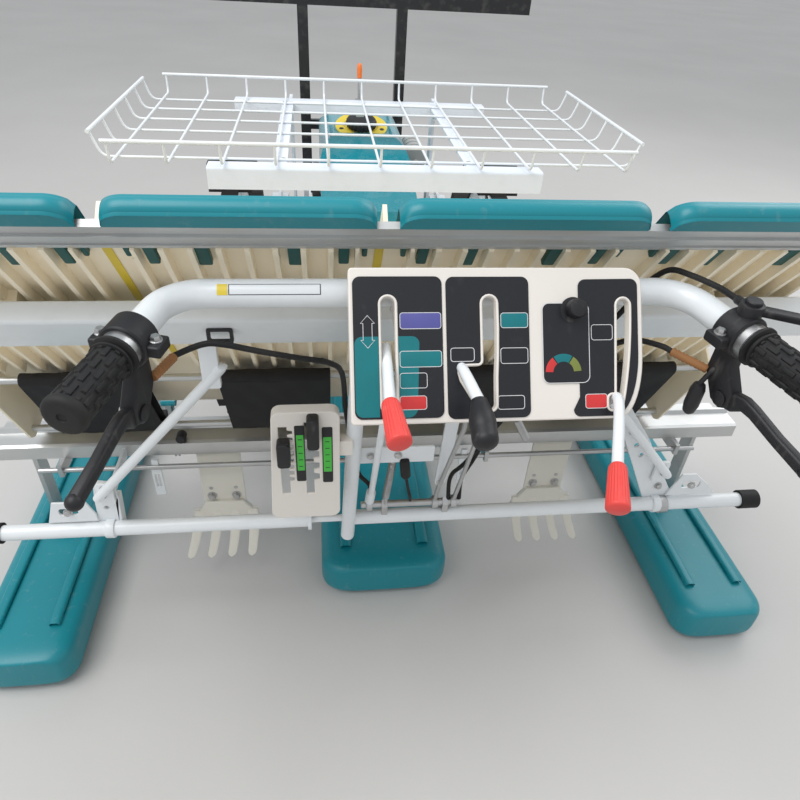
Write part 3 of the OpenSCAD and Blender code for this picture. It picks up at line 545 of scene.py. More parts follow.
def in_handle(x, y, z):
    """The handle's own plane, which droops toward its grips, set in the lip frame."""
    c, s = cos(DROOP), sin(DROOP)
    return level(HANDLE_X + x, y * c - z * s, HANDLE_Z + y * s + z * c)


def leg_place(t, a):
    """x and y in the handle's plane, t along a leg from the bend and a across it outward."""
    return LEG_X + t * sin(SPLAY) + a * cos(SPLAY), LEG_Y - t * cos(SPLAY) + a * sin(SPLAY)


def on_leg(side, t, a=0.0, b=0.0):
    """Point by a leg: t along it from the bend, a across it to the outside, b up."""
    x, y = leg_place(t, a)
    return in_handle(side * x, y, b)


def beside_leg(side):
    """Upright plane along a leg, for plate()."""
    return lambda t, b, a: on_leg(side, t, a, b)


def handle_tube():
    """One bent tube: straight, then an arc of HANDLE_BEND, then the splayed leg."""
    turn = np.radians(np.linspace(0, 75, 14))
    end_x, end_y = leg_place(80, 0)
    x = np.r_[HANDLE_HALF + HANDLE_BEND * np.sin(turn), end_x]
    y = np.r_[-HANDLE_BEND * (1 - np.cos(turn)), end_y]
    x, y = np.r_[-x[::-1], 0, x], np.r_[y[::-1], 0, y]
    tube = Shape().tube(in_handle(x, y, 0), TUBE_R, 32)
    for side in (-1, 1):
        tube.tube(on_leg(side, np.array([70.0, GRIP_END])), 12.9, 24)
    tube.piece("handle_tube", "white_paint", stands_for=["handle"])


def grip_form(side, shape):
    """Grip r = CORE + 1.9 w(14 a) w(t), each rib broken every 19 mm, staggered by turns."""
    ribs, rows = 14, 19.0
    t = np.linspace(GRIP_START + 12, GRIP_END - 6, 110)[:, None]
    a = circle(168)[None, :]
    odd = np.round(a * ribs / (2 * pi)) % 2
    rib = held(2.2 * np.cos(ribs * a) + 0.9)
    broken = held(5 * np.cos(2 * pi * t / rows + pi * odd) + 3.6)
    r = GRIP_CORE + 1.9 * rib * broken
    shape.grid(on_leg(side, t, r * np.cos(a), r * np.sin(a)), around=True)
    flange = [(0, 13), (0, 21), (1, 23), (4, 23), (5, 21), (6, 18), (8, 18), (9, 21), (11, 21),
              (12.5, GRIP_CORE)]
    bead = [(0, GRIP_CORE), (0.8, 20.2), (4, 20.5), (7, 20), (9.5, 17.5), (10, 14), (9.6, 5),
            (8.4, 4.4), (8.4, 0.1)]
    shape.lathe(on_leg(side, GRIP_START), on_leg(side, GRIP_END), flange, 48)
    shape.lathe(on_leg(side, GRIP_END - 6), on_leg(side, GRIP_END), bead, 48)


def grips():
    """Both grips as one moulded piece."""
    shape = Shape()
    for side in (-1, 1):
        grip_form(side, shape)
    shape.piece("grips_moulded", "black_rubber", stands_for=["grips"])


PERCH = [[39, -12], [66, -12], [67, -38], [84, -62], [86, -80], [74, -88], [60, -84], [39, -56]]
BLADE = [[72, -64], [84, -60], [98, -57], [112, -59], [150, -68], [190, -74], [196, -77],
         [198, -81.5], [196, -86], [190, -89], [150, -82], [112, -74], [100, -74], [88, -84],
         [72, -87]]
CLAMP_BORE = 16.1
PIVOT_T, PIVOT_B = 72, -75
BALL_R, BALL_B = 8.5, -81.5
THUMB_T, THUMB_A, THUMB_TURN = 52, 3, radians(26)


def throttle(black):
    """Thumb lever on the right leg: its hub, the arm and the stalk with a round end."""
    black.lathe(on_leg(1, THUMB_T, THUMB_A, 20), on_leg(1, THUMB_T, THUMB_A, 40),
                [(0, 13), (14, 13), (15.5, 12), (16, 9), (19, 9), (20, 8), (20, 0.1)], 36)
    hub_x, hub_y = leg_place(THUMB_T, THUMB_A)

    def along_arm(u, v, out):
        """Level plane along the arm from its hub."""
        c, s = cos(THUMB_TURN), sin(THUMB_TURN)
        return in_handle(hub_x + u * c + v * s, hub_y - u * s + v * c, 29.0 + out)

    black.plate(rounded(2, 78, -7, 7, 6.9), -4, 4, along_arm, 2)
    stalk = on_leg(1, 50, np.array([-8.0, -20, -20, -20]), np.array([-48.0, -66, -72, -80]))
    black.tube(stalk, 3, 12)
    black.lathe(on_leg(1, 50, -20, -68), on_leg(1, 50, -20, -112),
                [(0, 4), (1, 6.5), (8, 8.6), (30, 8.8), (40, 7), (43.5, 4), (44, 0.1)], 28)
    black.lathe(on_leg(1, 44, 3, 29), on_leg(1, 30, 3, 29), [(0, 5), (12, 5), (14, 4)], 20)


def clutch_levers():
    """Clamp on the tube, perch under it and the long blade that ends in a ball."""
    black, bright = Shape(), Shape()
    half_turn = np.linspace(0, pi, 14)
    ball = np.stack([BALL_R - BALL_R * np.cos(half_turn), BALL_R * np.sin(half_turn) + 0.01], -1)
    for side in (-1, 1):
        flat = beside_leg(side)
        black.lathe(on_leg(side, 37), on_leg(side, 60), collar(30, CLAMP_BORE, 24.5, 1.5), 40)
        for low, high in ((-36, -20), (20, 36)):
            black.plate(rounded(40, 65, -9, 4, 3), low, high, flat, 2)
        black.plate(PERCH, -9, 9, flat, 3)
        black.plate(BLADE, -6.5, 6.5, flat, 4)
        pivot = on_leg(side, PIVOT_T, 12, PIVOT_B)
        black.lathe(on_leg(side, PIVOT_T, -12, PIVOT_B), pivot, [(0, 7), (1, 9), (23, 9), (24, 7)], 28)
        black.lathe(on_leg(side, 181.5, 0, BALL_B), on_leg(side, 199, 0, BALL_B), ball, 24)
        for a in (-28, 28):
            seat = on_leg(side, 52, a, 4)
            bright.bolt(seat, on_leg(side, 52, a, 9) - seat, 9, 6)
        bright.bolt(pivot, on_leg(side, PIVOT_T, 13, PIVOT_B) - pivot, 9, 4)
        bright.lathe(on_leg(side, 67), on_leg(side, 77),
                     [(0, CLAMP_BORE), (0, 20), (9, 20), (9, CLAMP_BORE)], 36)
    throttle(black)
    black.piece("clutch_levers_moulded", "black_plastic", stands_for=["clutch_levers"])
    bright.piece("lever_bolts", "bright_steel")


def cable_boots():
    """Ribbed boots from the clutch levers' perches to where the cables begin."""
    boots = Shape()
    for side, first, last in ((-1, (42, -9, -52), (6, -14, -52)), (1, (42, -8, -56), (6, -28, -53))):
        root, end = on_leg(side, *first), on_leg(side, *last)
        reach = np.linalg.norm(end - root) + 3
        ribs = [(d, 5.4 if k % 2 else 4.6) for k, d in enumerate(np.linspace(0, reach, 19))]
        boots.lathe(root, end, ribs + [(reach + 0.5, 0.1)], 20)
    boots.piece("cable_boots", "tan_rubber", slot="black_plastic")


# PANEL, ITS PRINTS AND LEVERS

SLOT_A = rounded(31, 46, 27, 147, 7.4)
BOW = np.linspace(0, 1, 9)[1:]
SLOT_B = np.vstack([arc([146.5, 34.5], 7.5, 180, 360), [[154.3, 60], [153.6, 90], [152.4, 112]],
                    arc([145.5, 141], 6.5, 0, 110), [[128, 136], [115.5, 115]],
                    arc([119.5, 106.5], 6, 170, 280), arc([133, 94.5], 6, 100, 0, 4)])
SLOT_C = np.vstack([arc([295.3, 37.5], 7, 180, 360),
                    np.stack([302.3 - 10.3 * BOW ** 2.2, 37.5 + 108.5 * BOW], -1),
                    arc([288, 146], 4, 0, 90, 4), arc([281.5, 146], 4, 90, 180, 4),
                    arc([281.5, 138.5], 4, 180, 270, 4), arc([283.4, 131.5], 3, 90, 0, 4)])
FOOT = np.radians(np.linspace(0, 90, 12))


def foot_curve(x, y, wide, high):
    """Oval lower right corner of the panel: (x + wide cos a, y + high sin a)."""
    return np.stack([x + wide * np.cos(FOOT), y + high * np.sin(FOOT)], -1)


PANEL_OUTLINE = np.vstack([arc([2, 156], 4, 90, 180, 4), arc([2, 0], 4, 180, 270, 4),
                           arc([298, 16], 20, 270, 360), foot_curve(290, 92, 28, 68)])
LEGENDS = [
    (rounded(2, 96, 5.5, 154, 8), inset(SLOT_A, -2.8)),
    (rounded(100, 190, 6, 156, 8), inset(SLOT_B, -2.8)),
    (np.vstack([arc([253, 17], 8, 180, 270), arc([304.3, 16.5], 8, 270, 360),
                foot_curve(284, 90, 28.3, 67), arc([245.5, 149.5], 7.5, 90, 180), [[245, 136]]]),
     inset(SLOT_C, -2.4)),
]
CHOKE = (239, 42)
CHOKE_LABEL = rounded(205, 256, 35, 120, 7)
TEAL_PRINTS = [
    np.vstack([arc([11, 76], 8, 180, 270), [[28, 68], [28, 152]], arc([11, 144], 8, 90, 180)]),
    np.vstack([arc([63, 76], 8, 270, 360), arc([58, 143], 10, 0, 90), [[49, 153], [49, 68]]]),
]
ARROW = [[17, 46.5], [24, 54], [21.4, 54], [21.4, 72], [24, 72], [17, 79.5], [10, 72],
         [12.6, 72], [12.6, 54], [10, 54]]
DIAL = [227, 109]
DIAL_BANDS = (("red_print", 182, 233), ("teal_print", 237, 300), ("olive_print", 304, 356))
BOXES = [("violet_print", (51.4, 94, 44, 60)), ("teal_print", (50.5, 94, 84, 100)),
         (None, (50, 78, 107, 122)), ("red_print", (49.5, 77, 131, 144.5)),
         (None, (104.5, 129, 81.5, 95)), ("teal_print", (159.3, 188, 45, 60)),
         (None, (158.5, 187.5, 82.2, 98)), (None, (154.5, 182.7, 133, 146.6)),
         (None, (259.4, 282.5, 58.6, 74.3)), ("red_print", (251.5, 275, 133.5, 148))]


def moulding(outline, slots, deep, plane, face=0.0):
    """Moulding open at its back: a face of 4 with slots and a round edge, and walls of 3."""
    walls = [(0.1, face - 2), (0, face - deep), (3, face - deep), (3, face - 3)]
    return Shape().pierced(outline, slots, face - 4, face, plane, 1.6).skirt(outline, walls, plane)


def panel_shell():
    """The panel, the raised lips of its slots and its three bushes on the handle."""
    shell = moulding(PANEL_OUTLINE, [SLOT_A, SLOT_B, SLOT_C], 20, on_panel)
    for slot in (SLOT_A, SLOT_B, SLOT_C):
        shell.rim(slot, 2.6, 0, 2.6, on_panel, 0.9)
        shell.skirt(slot, [(-0.02, 0.3), (-0.02, -9)], on_panel)
    web = [[-55.5, 807], [6, 818], [10, 778], [-82, 768]]
    for x in (-40, 120, 178):
        shell.lathe((x, 0, HANDLE_Z), (x + 12, 0, HANDLE_Z), collar(12, 16.2, 22), 36)
        shell.plate(web, x + 0.5, x + 11.5, sideways, 1)
    shell.piece("panel_shell", "panel_plastic", slot="white_paint", stands_for=["panel"])


def panel_prints():
    """Black legend plates with blank coloured fields, outlined boxes and the choke's dial."""
    black = Shape()
    for outline, hole in LEGENDS:
        black.pierced(outline, [hole], 0.2, 1.0, on_panel, 0.25)
    black.pierced(CHOKE_LABEL, [], 0.5, 1.3, on_panel, 0.25)
    black.piece("legend_plates", "black_film", slot="black_plastic", stands_for=["panel_labels"])
    fields = {name: Shape() for name in ("teal_print", "violet_print", "red_print", "olive_print")}
    lines = Shape()
    for outline in TEAL_PRINTS:
        fields["teal_print"].pierced(outline, [], 0.9, 1.15, on_panel, 0.1)
    for name, box in BOXES:
        if name:
            fields[name].plate(rounded(*box, 2.5), 1.0, 1.3, on_panel, 0.1)
        lines.rim(rounded(*box, 2.5), 0.7, 1.0, 1.35, on_panel, 0.1)
    lines.rim(ARROW, 0.6, 1.0, 1.35, on_panel, 0.1)
    lines.rim(CHOKE_LABEL, 0.8, 0.9, 1.32, on_panel, 0.1)
    for name, first, last in DIAL_BANDS:
        band = np.vstack([arc(DIAL, 20, first, last), arc(DIAL, 11.5, last, first)])
        fields[name].plate(band, 1.2, 1.5, on_panel, 0.1)
    for name, shape in fields.items():
        shape.piece(name + "_fields", name, slot="black_plastic")
    lines.piece("light_outlines", "white_print", slot="white_paint")


def choke():
    """Choke knob on its collar."""
    black = Shape()
    black.lathe(on_panel(*CHOKE, -1), on_panel(*CHOKE, 20),
                [(0, 14), (2.4, 14), (3, 9), (6, 9), (7, 10.4), (8, 10.8), (17, 10.4), (19.4, 9),
                 (20, 7), (20.2, 0.1)], 40)
    black.piece("choke_knob", "black_plastic")


LEVER_A = [(-50, -60, 765), (-52, -106, 762), (-54, -150, 758), (-49, -203, 747)]
LEVER_B = [(28, -60, 742), (28, -98, 759), (35, -150, 756), (33, -203, 740)]
LEVER_C = [(197, -102, 716), (197, -124, 731), (178, -190, 700), (162, -240, 686)]


def stems():
    """White lever stems: smooth through their points, wider where they are flattened."""
    white = Shape()
    for lever in (LEVER_A, LEVER_B, LEVER_C):
        route = through(lever[:3], 10)
        white.tube(route, np.linspace(5.2, 6.2, len(route)), 20)
    white.piece("lever_stems", "white_paint")


# FEED ADJUSTER AND KNOBS

ADJUSTER_OUT = -32.0
SCALE_STRIPS = ((-156.5, -146.5, 503, 568), (-120, -108.5, 499, 563))


def toothed(x0, x1, z0, z1, depth, teeth):
    """Slot with a comb of detent gaps on its right: x1 + depth where a square wave of z is up."""
    z = np.linspace(z0 + 22, z1 - 4, 12 * teeth + 1)
    right = x1 + depth * held(4 * np.cos(2 * pi * (z - z[0]) / (z[-1] - z[0]) * teeth + pi) + 1)
    return np.vstack([[[x0, z1], [x0, z0], [x1, z0]], np.stack([right, z], -1), [[x1, z1]]])


def adjuster():
    """Moulded plate with two toothed slots, its knobs and two scale strips."""
    outline = np.vstack([arc([-110, 593], 13, 0, 90), arc([-176, 593], 13, 90, 180),
                         arc([-185, 419], 13, 180, 270), arc([-110, 419], 13, 270, 360)])
    slots = [toothed(-180, -168.5, 457, 581, 7, 8), toothed(-145, -134, 456, 588, 8, 5)]
    shell = moulding(outline, slots, 18, upright, ADJUSTER_OUT)
    shell.pierced(rounded(-97.5, -79, 522, 548, 2), [], -56, -38, upright, 0.6)
    shell.piece("adjuster_moulded", "panel_plastic", slot="white_paint", stands_for=["adjuster_plate"])
    black = Shape()
    for x0, x1, z0, z1 in ((-183, -165, 522, 563), (-141.5, -125, 553, 604)):
        black.plate(rounded(x0, x1, z0, z1, 5), ADJUSTER_OUT - 2, -14, upright, 2.5)
        black.plate(rounded(x0 + 4, x1 - 4, z0 + 8, z1 - 8, 2), ADJUSTER_OUT - 8, ADJUSTER_OUT, upright)
    for x0, x1, z0, z1 in ((-158.5, -145, 482, 584), (-121.5, -107, 478, 580)):
        black.plate(rounded(x0, x1, z0, z1, 2.5), ADJUSTER_OUT - 0.5, ADJUSTER_OUT + 0.9, upright, 0.3)
    black.piece("adjuster_knobs", "black_plastic", stands_for=["black_knobs"])
    green, ink = Shape(), Shape()
    for x0, x1, z0, z1 in SCALE_STRIPS:
        green.plate(rounded(x0, x1, z0, z1, 1), ADJUSTER_OUT + 0.7, ADJUSTER_OUT + 1.15, upright, 0.1)
        for z in np.linspace(z0 + 8, z1 - 8, 5):
            ink.plate(rounded((x0 + x1) / 2 - 3, (x0 + x1) / 2 + 3, z - 0.6, z + 0.6, 0.5),
                      ADJUSTER_OUT + 1, ADJUSTER_OUT + 1.4, upright, 0.1)
    green.piece("scale_strips", "green_print", slot="black_plastic")
    ink.piece("scale_ticks", "black_film", slot="black_plastic")


def red_knob(shape, root, tip):
    """Ribbed knob, r = R(d) + 0.4 cos 22 a, wider toward its foot like a bell."""
    root, tip = np.array(root, float), np.array(tip, float)
    axis = unit(tip - root)
    length = np.linalg.norm(tip - root)
    d = np.linspace(0, 1, 60)
    radius = 9.4 + 3.2 * d ** 1.5 - 2.2 * np.exp(-d * 22)
    radius = radius * domed(d, 0.93, 0.07, 2, 0.0002)
    across = unit(np.cross(axis, [1.0, 0, 0]))
    over = np.cross(axis, across)
    a = circle(176)
    ribs = 0.4 * np.cos(22 * a)[None, :] * (np.sin(pi * held(d * 1.08)) ** 0.4)[:, None]
    r = (radius[:, None] + ribs)[..., None]
    ring = np.cos(a)[:, None] * across + np.sin(a)[:, None] * over
    shape.grid(root + (d * length)[:, None, None] * axis + r * ring, around=True, caps=True)


def knobs():
    """Two ribbed red knobs and the smooth black one, turned about the levers' ends."""
    red = Shape()
    for lever in (LEVER_A, LEVER_C):
        red_knob(red, *lever[2:])
    red.piece("red_knobs_ribbed", "red_plastic", stands_for=["red_knobs"])
    black = Shape()
    root, tip = np.array(LEVER_B[2:], float)
    length = np.linalg.norm(tip - root)
    d = np.linspace(0, length, 40)
    r = 8.5 + 5.0 * np.sin(pi * np.clip(d / length, 0, 0.62)) ** 1.5
    r = r * domed(d / length, 0.8, 0.2, 2.4, 0.0001)
    black.lathe(root, tip, np.stack([d, r], -1), 36)
    black.piece("black_knob", "black_plastic")


# SEEDLING TABLE

STRIPE_X = (-301.0, -5.0)
BELT_A, BELT_B = np.array([424.0, -30.0]), np.array([600.0, -62.0])
BELT_R, BELT_HALF = 11, 90


def extension_plates():
    """Folded teal lip of each section: u runs up the outer face to 0.36, round the upper edge,
    whose ends drop in arcs, to 0.56, and down the mat side."""
    shape = Shape()
    x = np.linspace(-138, 138, 70)[:, None]
    u = np.linspace(0, 1, 40)[None, :]
    ends = held((np.abs(x) - 112) / 26)
    top = -19.5 + 20 * (1 - np.sqrt(held(1 - ends ** 2)))
    fold = held((u - 0.36) / 0.2) * pi
    s_outer = 9.0 + (top + 7 - 9.0) * held(u / 0.36)
    s_mats = top + 7 + (112 - top - 7) * held((u - 0.56) / 0.44)
    s = np.where(u < 0.36, s_outer, np.where(u > 0.56, s_mats, top + 7 - 7 * np.sin(fold)))
    n = np.where(u < 0.36, -9.5, np.where(u > 0.56, 11.5, 1.0 - 10.5 * np.cos(fold)))
    for middle in MATS:
        shape.grid(on_table(middle + x, s, n))
        inner = on_table(middle + x, s + 2.0 * np.sin(fold), n - 2.5 * np.cos(fold))
        shape.grid(np.where((u < 0.36)[..., None], on_table(middle + x, s, n + 2.5), inner))
    shape.piece("extension_plates_folded", "teal_plastic", "seedling_table",
                stands_for=["extension_plates"])


def plate_tabs():
    """Ends of the plates' tongues, pushed through the deck below the strip, in a darker teal that is
    painted shade.
    """
    shape = Shape()
    for middle in MATS:
        for across, wide, long in ((50, 15, 44), (105, 12, 41), (128, 6, 24)):
            for x in (middle - across, middle + across):
                outline = rounded(x - wide / 2, x + wide / 2, 44, 47 + long, 2.4)
                shape.plate(outline, -8, 0.5, on_table, 1.2)
    shape.piece("plate_tongues", "teal_painted_shade", "seedling_table", slot="teal_plastic")


def yellow_stripes():
    """Two painted lines down the back of the deck, between its ribs."""
    shape = Shape()
    for x in STRIPE_X:
        shape.plate(rounded(x - 5, x + 5, 49, 400, 2), -1.2, -0.4, on_table, 0.1)
    shape.piece("deck_stripes", "yellow_print", "seedling_table", slot="cream_plastic")


def feed_belts():
    """Wide belts, each a loop of BELT_R round two shafts, its skin rucked into soft folds."""
    between = BELT_B - BELT_A
    along = unit(between)
    off = np.array([along[1], -along[0]])
    length = np.linalg.norm(between)
    tilt = np.degrees(np.arctan2(off[1], off[0]))
    run = along * length * np.linspace(0, 1, 46)[:, None]
    loop = np.vstack([BELT_A + off * BELT_R + run, arc(BELT_B, BELT_R, tilt, tilt + 180, 12),
                      BELT_B - off * BELT_R - run, arc(BELT_A, BELT_R, tilt + 180, tilt + 360, 12)])
    out = unit(loop - (BELT_A + along * np.clip((loop - BELT_A) @ along, 0, length)[:, None]))
    x = np.linspace(-BELT_HALF, BELT_HALF, 120)[:, None]
    u = np.linspace(0, 1, len(loop))[None, :]
    shape = Shape()
    for number, middle in enumerate(MATS):
        phase = 1.7 * number
        fold = np.sin(x / 17 + 9 * u + phase) * np.sin(u * 23 + x / 41 + phase) * 0.8
        fold += np.sin(x / 7.3 - 31 * u + 2 * phase) * 0.35
        inner = held((BELT_HALF - np.abs(x)) / 10)
        grow = 0.4 + fold * inner
        s = loop[None, :, 0] + out[None, :, 0] * grow
        n = loop[None, :, 1] + out[None, :, 1] * grow
        shape.grid(on_table(middle + x, s, n), around=True)
    shape.piece("feed_belts_soft", "belt_cloth", "seedling_table", slot="black_rubber",
                stands_for=["feed_belts"])


# RACK AND FRONT

RACK_X, RACK_HALF = -8.0, 455.0
LEG_Y0, LEG_Y1 = 1085.0, 1125.0
RACK_Y0, RACK_Y1 = 500.0, 1046.0
RACK_Z, RIM_Z = 778.5, 821.0
WIRE_R = 2.5
CHANNEL_HALF, CHANNEL_TOP = 302, 776
REAR_CHANNEL = (510, 550, 738)
FRONT_CHANNEL = (1022, 1062, 750)
MARKER = (-10, 1104)


def rack_basket():
    """Welded wire floor, each wire bent up at its ends to the thicker rims."""
    wire = Shape()
    for x in RACK_X + np.linspace(-RACK_HALF, RACK_HALF, 11):
        route = [(x, RACK_Y0 - 8, RIM_Z), (x, RACK_Y0, RACK_Z + 4.5), (x, RACK_Y1, RACK_Z + 4.5),
                 (x, RACK_Y1 + 4, RIM_Z)]
        wire.tube(bent(route, 12), WIRE_R, 10)
    for y in RACK_Y0 + 53 + 88 * np.arange(6):
        reach = RACK_HALF + 27
        route = [(RACK_X + side * (RACK_HALF + far), y, z) for side, far, z in
                 ((-1, 42, RIM_Z), (-1, 27, RACK_Z), (1, 27, RACK_Z), (1, 42, RIM_Z))]
        wire.tube(bent(route, 14), WIRE_R, 10)
    rims = [[(RACK_X - RACK_HALF - 8, y, RIM_Z), (RACK_X + RACK_HALF + 8, y, RIM_Z)]
            for y in (RACK_Y0 - 8, RACK_Y1 + 4)]
    rims += [[(RACK_X + side * (RACK_HALF + 42), RACK_Y0 + 46, RIM_Z),
              (RACK_X + side * (RACK_HALF + 42), RACK_Y0 + 500, RIM_Z)] for side in (-1, 1)]
    for first, last in rims:
        route = np.linspace(first, last, 40)
        wire.tube(route, WIRE_R + 1, 12)
    wire.piece("rack_wires", "white_paint", stands_for=["rack_basket"])


def folded_bar(shape, x0, x1, y0, y1, low, high):
    """Channel open below: its skin of 3 folded along x, with round corners of 5."""
    front, rear = [y1 - 5, high - 5], [y0 + 5, high - 5]
    outer = np.vstack([[[y1, low]], arc(front, 5, 0, 90), arc(rear, 5, 90, 180), [[y0, low]]])
    inner = np.vstack([[[y0 + 3, low]], arc(rear, 2, 180, 90), arc(front, 2, 90, 0), [[y1 - 3, low]]])
    loop = np.vstack([outer, inner])
    rows = [level(x, *loop.T) for x in (x0, x1)]
    shape.grid(rows, around=True)
    for row in rows:
        shape.grid([row[:len(outer)], row[len(outer):][::-1]])


def rack_frame():
    """Two cross channels, the rails between them and two flat legs with their braces."""
    shape, bright = Shape(), Shape()
    left, right = RACK_X - CHANNEL_HALF, RACK_X + CHANNEL_HALF
    folded_bar(shape, left, right, *REAR_CHANNEL, CHANNEL_TOP)
    folded_bar(shape, left, right, *FRONT_CHANNEL, CHANNEL_TOP)
    upper_leg = rounded(1058, LEG_Y0 + 6, 736, 774, 3)
    lower_leg = rounded(LEG_Y0, LEG_Y1, 362, 772, 3)
    brace = [[LEG_Y0 + 5, 560], [LEG_Y0 + 5, 600], [549, 765], [549, 740]]
    bolts = ((LEG_Y0 + 20, 400), (LEG_Y0 + 20, 440), (560, 748), (LEG_Y0 + 20, 580))
    for side in (-1, 1):
        rail = rounded(*pair(side, 164, 190, RACK_X), 545, 1027, 2)
        shape.plate(rail, CHANNEL_TOP - 6, CHANNEL_TOP, level, 1)
        for x, y in ((-6, 562), (6, 1010)):
            bright.bolt((RACK_X + side * (177 + x), y, CHANNEL_TOP), (0, 0, 1), 8, 3)
        for outline in (lower_leg, upper_leg, brace):
            shape.plate(outline, *pair(side, 176, 184), sideways, 1)
        for y, z in bolts:
            bright.bolt((side * 184, y, z), (side, 0, 0), 11, 5)
    # The channels take the blue-tinted white, which is painted light against the deck's warm bounce.
    shape.piece("rack_channels", "rack_white_against_bounce_light", slot="white_paint", stands_for=["rack_frame"])
    bright.piece("rack_bolts", "bright_steel")


def fuel_cap():
    """Black screw cap in a yellow printed ring on the bonnet."""
    at, lean = np.array([-2, 1134, 697.0]), radians(14)
    toward = np.array([0, -sin(lean), cos(lean)])
    across = np.array([0, cos(lean), sin(lean)])
    boss, ring, cap = Shape(), Shape(), Shape()
    boss.lathe(at - 34 * toward, at, [(0, 74), (28, 72), (33, 70), (34, 68), (34, 0.1)], 64)
    boss.piece("filler_boss", "teal_paint")
    ring.lathe(at, at + toward, [(0, 68), (2, 68), (3, 66.5), (3, 45), (2, 44), (0.5, 44)], 64)
    ring.piece("filler_ring", "yellow_print", slot="black_plastic", stands_for=["fuel_cap"])
    a = circle(144)
    d = np.array([3, 4, 15, 18, 20.5, 21, 21])[:, None]
    r = np.array([37, 38.5, 38.5, 37, 33, 26, 0.1])[:, None]
    knurl = 1.2 * np.cos(24 * a)[None, :] * (d < 17)
    right, up = (r + knurl) * np.cos(a), (r + knurl) * np.sin(a)
    points = at + np.array([1.0, 0, 0]) * right[..., None] + across * up[..., None]
    cap.grid(points + toward * d[..., None], around=True, caps=True)
    for turn in np.radians([200, 250, 290, 340]):
        spot = at + 56 * (np.array([cos(turn), 0, 0]) + across * sin(turn))
        cap.lathe(spot + toward * 2.5, spot + toward * 4, [(0, 6), (0.6, 6), (0.8, 0.1)], 20)
    cap.piece("filler_cap", "black_plastic")


def centre_marker():
    """Sighting rod ahead of the rack with its orange tip, on a small bracket."""
    rod, tip = Shape(), Shape()
    rod.plate(rounded(-20, 0, 1062, 1068, 1), 736, 774, level, 0.6)
    rod.plate(rounded(-20, 0, 1066, 1110, 3), 764, 770, level, 0.8)
    rod.lathe((*MARKER, 770), (*MARKER, 820), [(0, 4), (50, 4)], 20)
    rod.piece("marker_rod", "bright_steel", stands_for=["centre_marker"])
    tip.lathe((*MARKER, 817), (*MARKER, 850),
              [(0, 4.2), (1, 6), (20, 6.5), (30, 5.6), (33, 3), (33.5, 0.1)], 24)
    tip.piece("marker_tip", "orange_paint", slot="bright_steel")


# REAR FRAME, LINKAGE AND CABLES

CHANNEL_END = 590.0
SHAFT_Z = 341
BACK = (0, -1, 0)


def support_channel():
    """Hollow channel behind the table, open at its ends, on two struts."""
    shape = Shape()
    loops = rounded(150, 225, -52, -22, 4), rounded(153, 222, -49, -25, 2)
    for loop in loops:
        shape.grid(slope_frame(np.array([[-CHANNEL_END], [CHANNEL_END]]), *loop.T), around=True)
    for x in (-CHANNEL_END, CHANNEL_END):
        shape.grid([slope_frame(x, *loop.T) for loop in loops], around=True)
    for side in (-1, 1):
        route = np.array([(463, 111, 394), (456, 109, 405), (268, 92, 623), (262, 91, 634)], float)
        route[:, 0] *= side
        shape.tube(through(route, 8), 7.6, 20)
        shape.plate(rounded(*pair(side, 256, 280), 608, 690, 4), -97, -87, upright, 1)
        shape.plate(rounded(*pair(side, 449, 474), 366, 412, 6), -120, -114, upright, 1)
    shape.piece("channel_and_struts", "white_paint", stands_for=["support_channel"])


def bore(centre, radius):
    """Round hole for pierced()."""
    return arc(centre, radius, 0, 360)[:-1]


def rear_brackets():
    """Each side: hanger from the tube to the rail, folded plate on the tube, slotted tab."""
    white, bright = Shape(), Shape()
    hanger = [[112, 318], [118, 300], [300, 306], [300, 326], [140, 330]]
    for side in (-1, 1):
        white.plate(hanger, side * 487 - 3, side * 487 + 3, sideways, 0.8)
    left_fold = [[-488, 318], [-455, 318], [-447, 372], [-449, 404], [-478, 410], [-484, 372]]
    left_flange = [[-458, 300], [-452, 300], [-447, 372], [-453, 372]]
    left_tab = [[-562, 328], [-486, 328], [-486, 342], [-497, 371], [-548, 371]]
    right_fold = [[459, 304], [505, 325], [423, 459], [363, 540], [345, 530], [366, 487]]
    right_tab = [[490, 328], [584, 328], [566, 350], [534, 378], [508, 378]]
    white.pierced(left_fold, [bore([-469, 352], 4.5)], -128, -122, upright, 0.8)
    white.plate(left_flange, -142, -122, upright, 0.8)
    for outline, holes, low, high in (
            (left_tab, [rounded(-541, -512, 344, 358, 5)], -121, -117),
            (right_fold, [bore([404, 447], 5), bore([418, 424], 5)], -127, -122),
            (right_tab, [rounded(514, 548, 345, 361, 5)], -121, -117)):
        white.pierced(outline, holes, low, high, upright, 0.8)
    for x in (-470.0, 470.0):
        white.lathe((x, BAR_Y, 312), (x + 1, BAR_Y, 312),
                    [(-5, 12.9), (-5, 15.5), (-4, 16), (8, 16), (9, 15.5), (9, 12.9)], 36)
    bright.lathe((478, BAR_Y, 310), (479, BAR_Y, 310),
                 [(0, 13), (0, 16.5), (14, 16.5), (14, 13)], 36)
    for x, y, z in ((-527, 117, 351), (-463, 122, 392), (531, 117, 353), (388, 122, 478),
                    (471, 122, 350)):
        bright.bolt((x, y, z), BACK, 10, 6)
    for side in (-1, 1):
        bright.bolt((side * 461, 114, 402), BACK, 9, 5)
    white.piece("bracket_plates", "white_paint", stands_for=["rear_brackets"])
    bright.piece("bracket_bolts", "bright_steel")


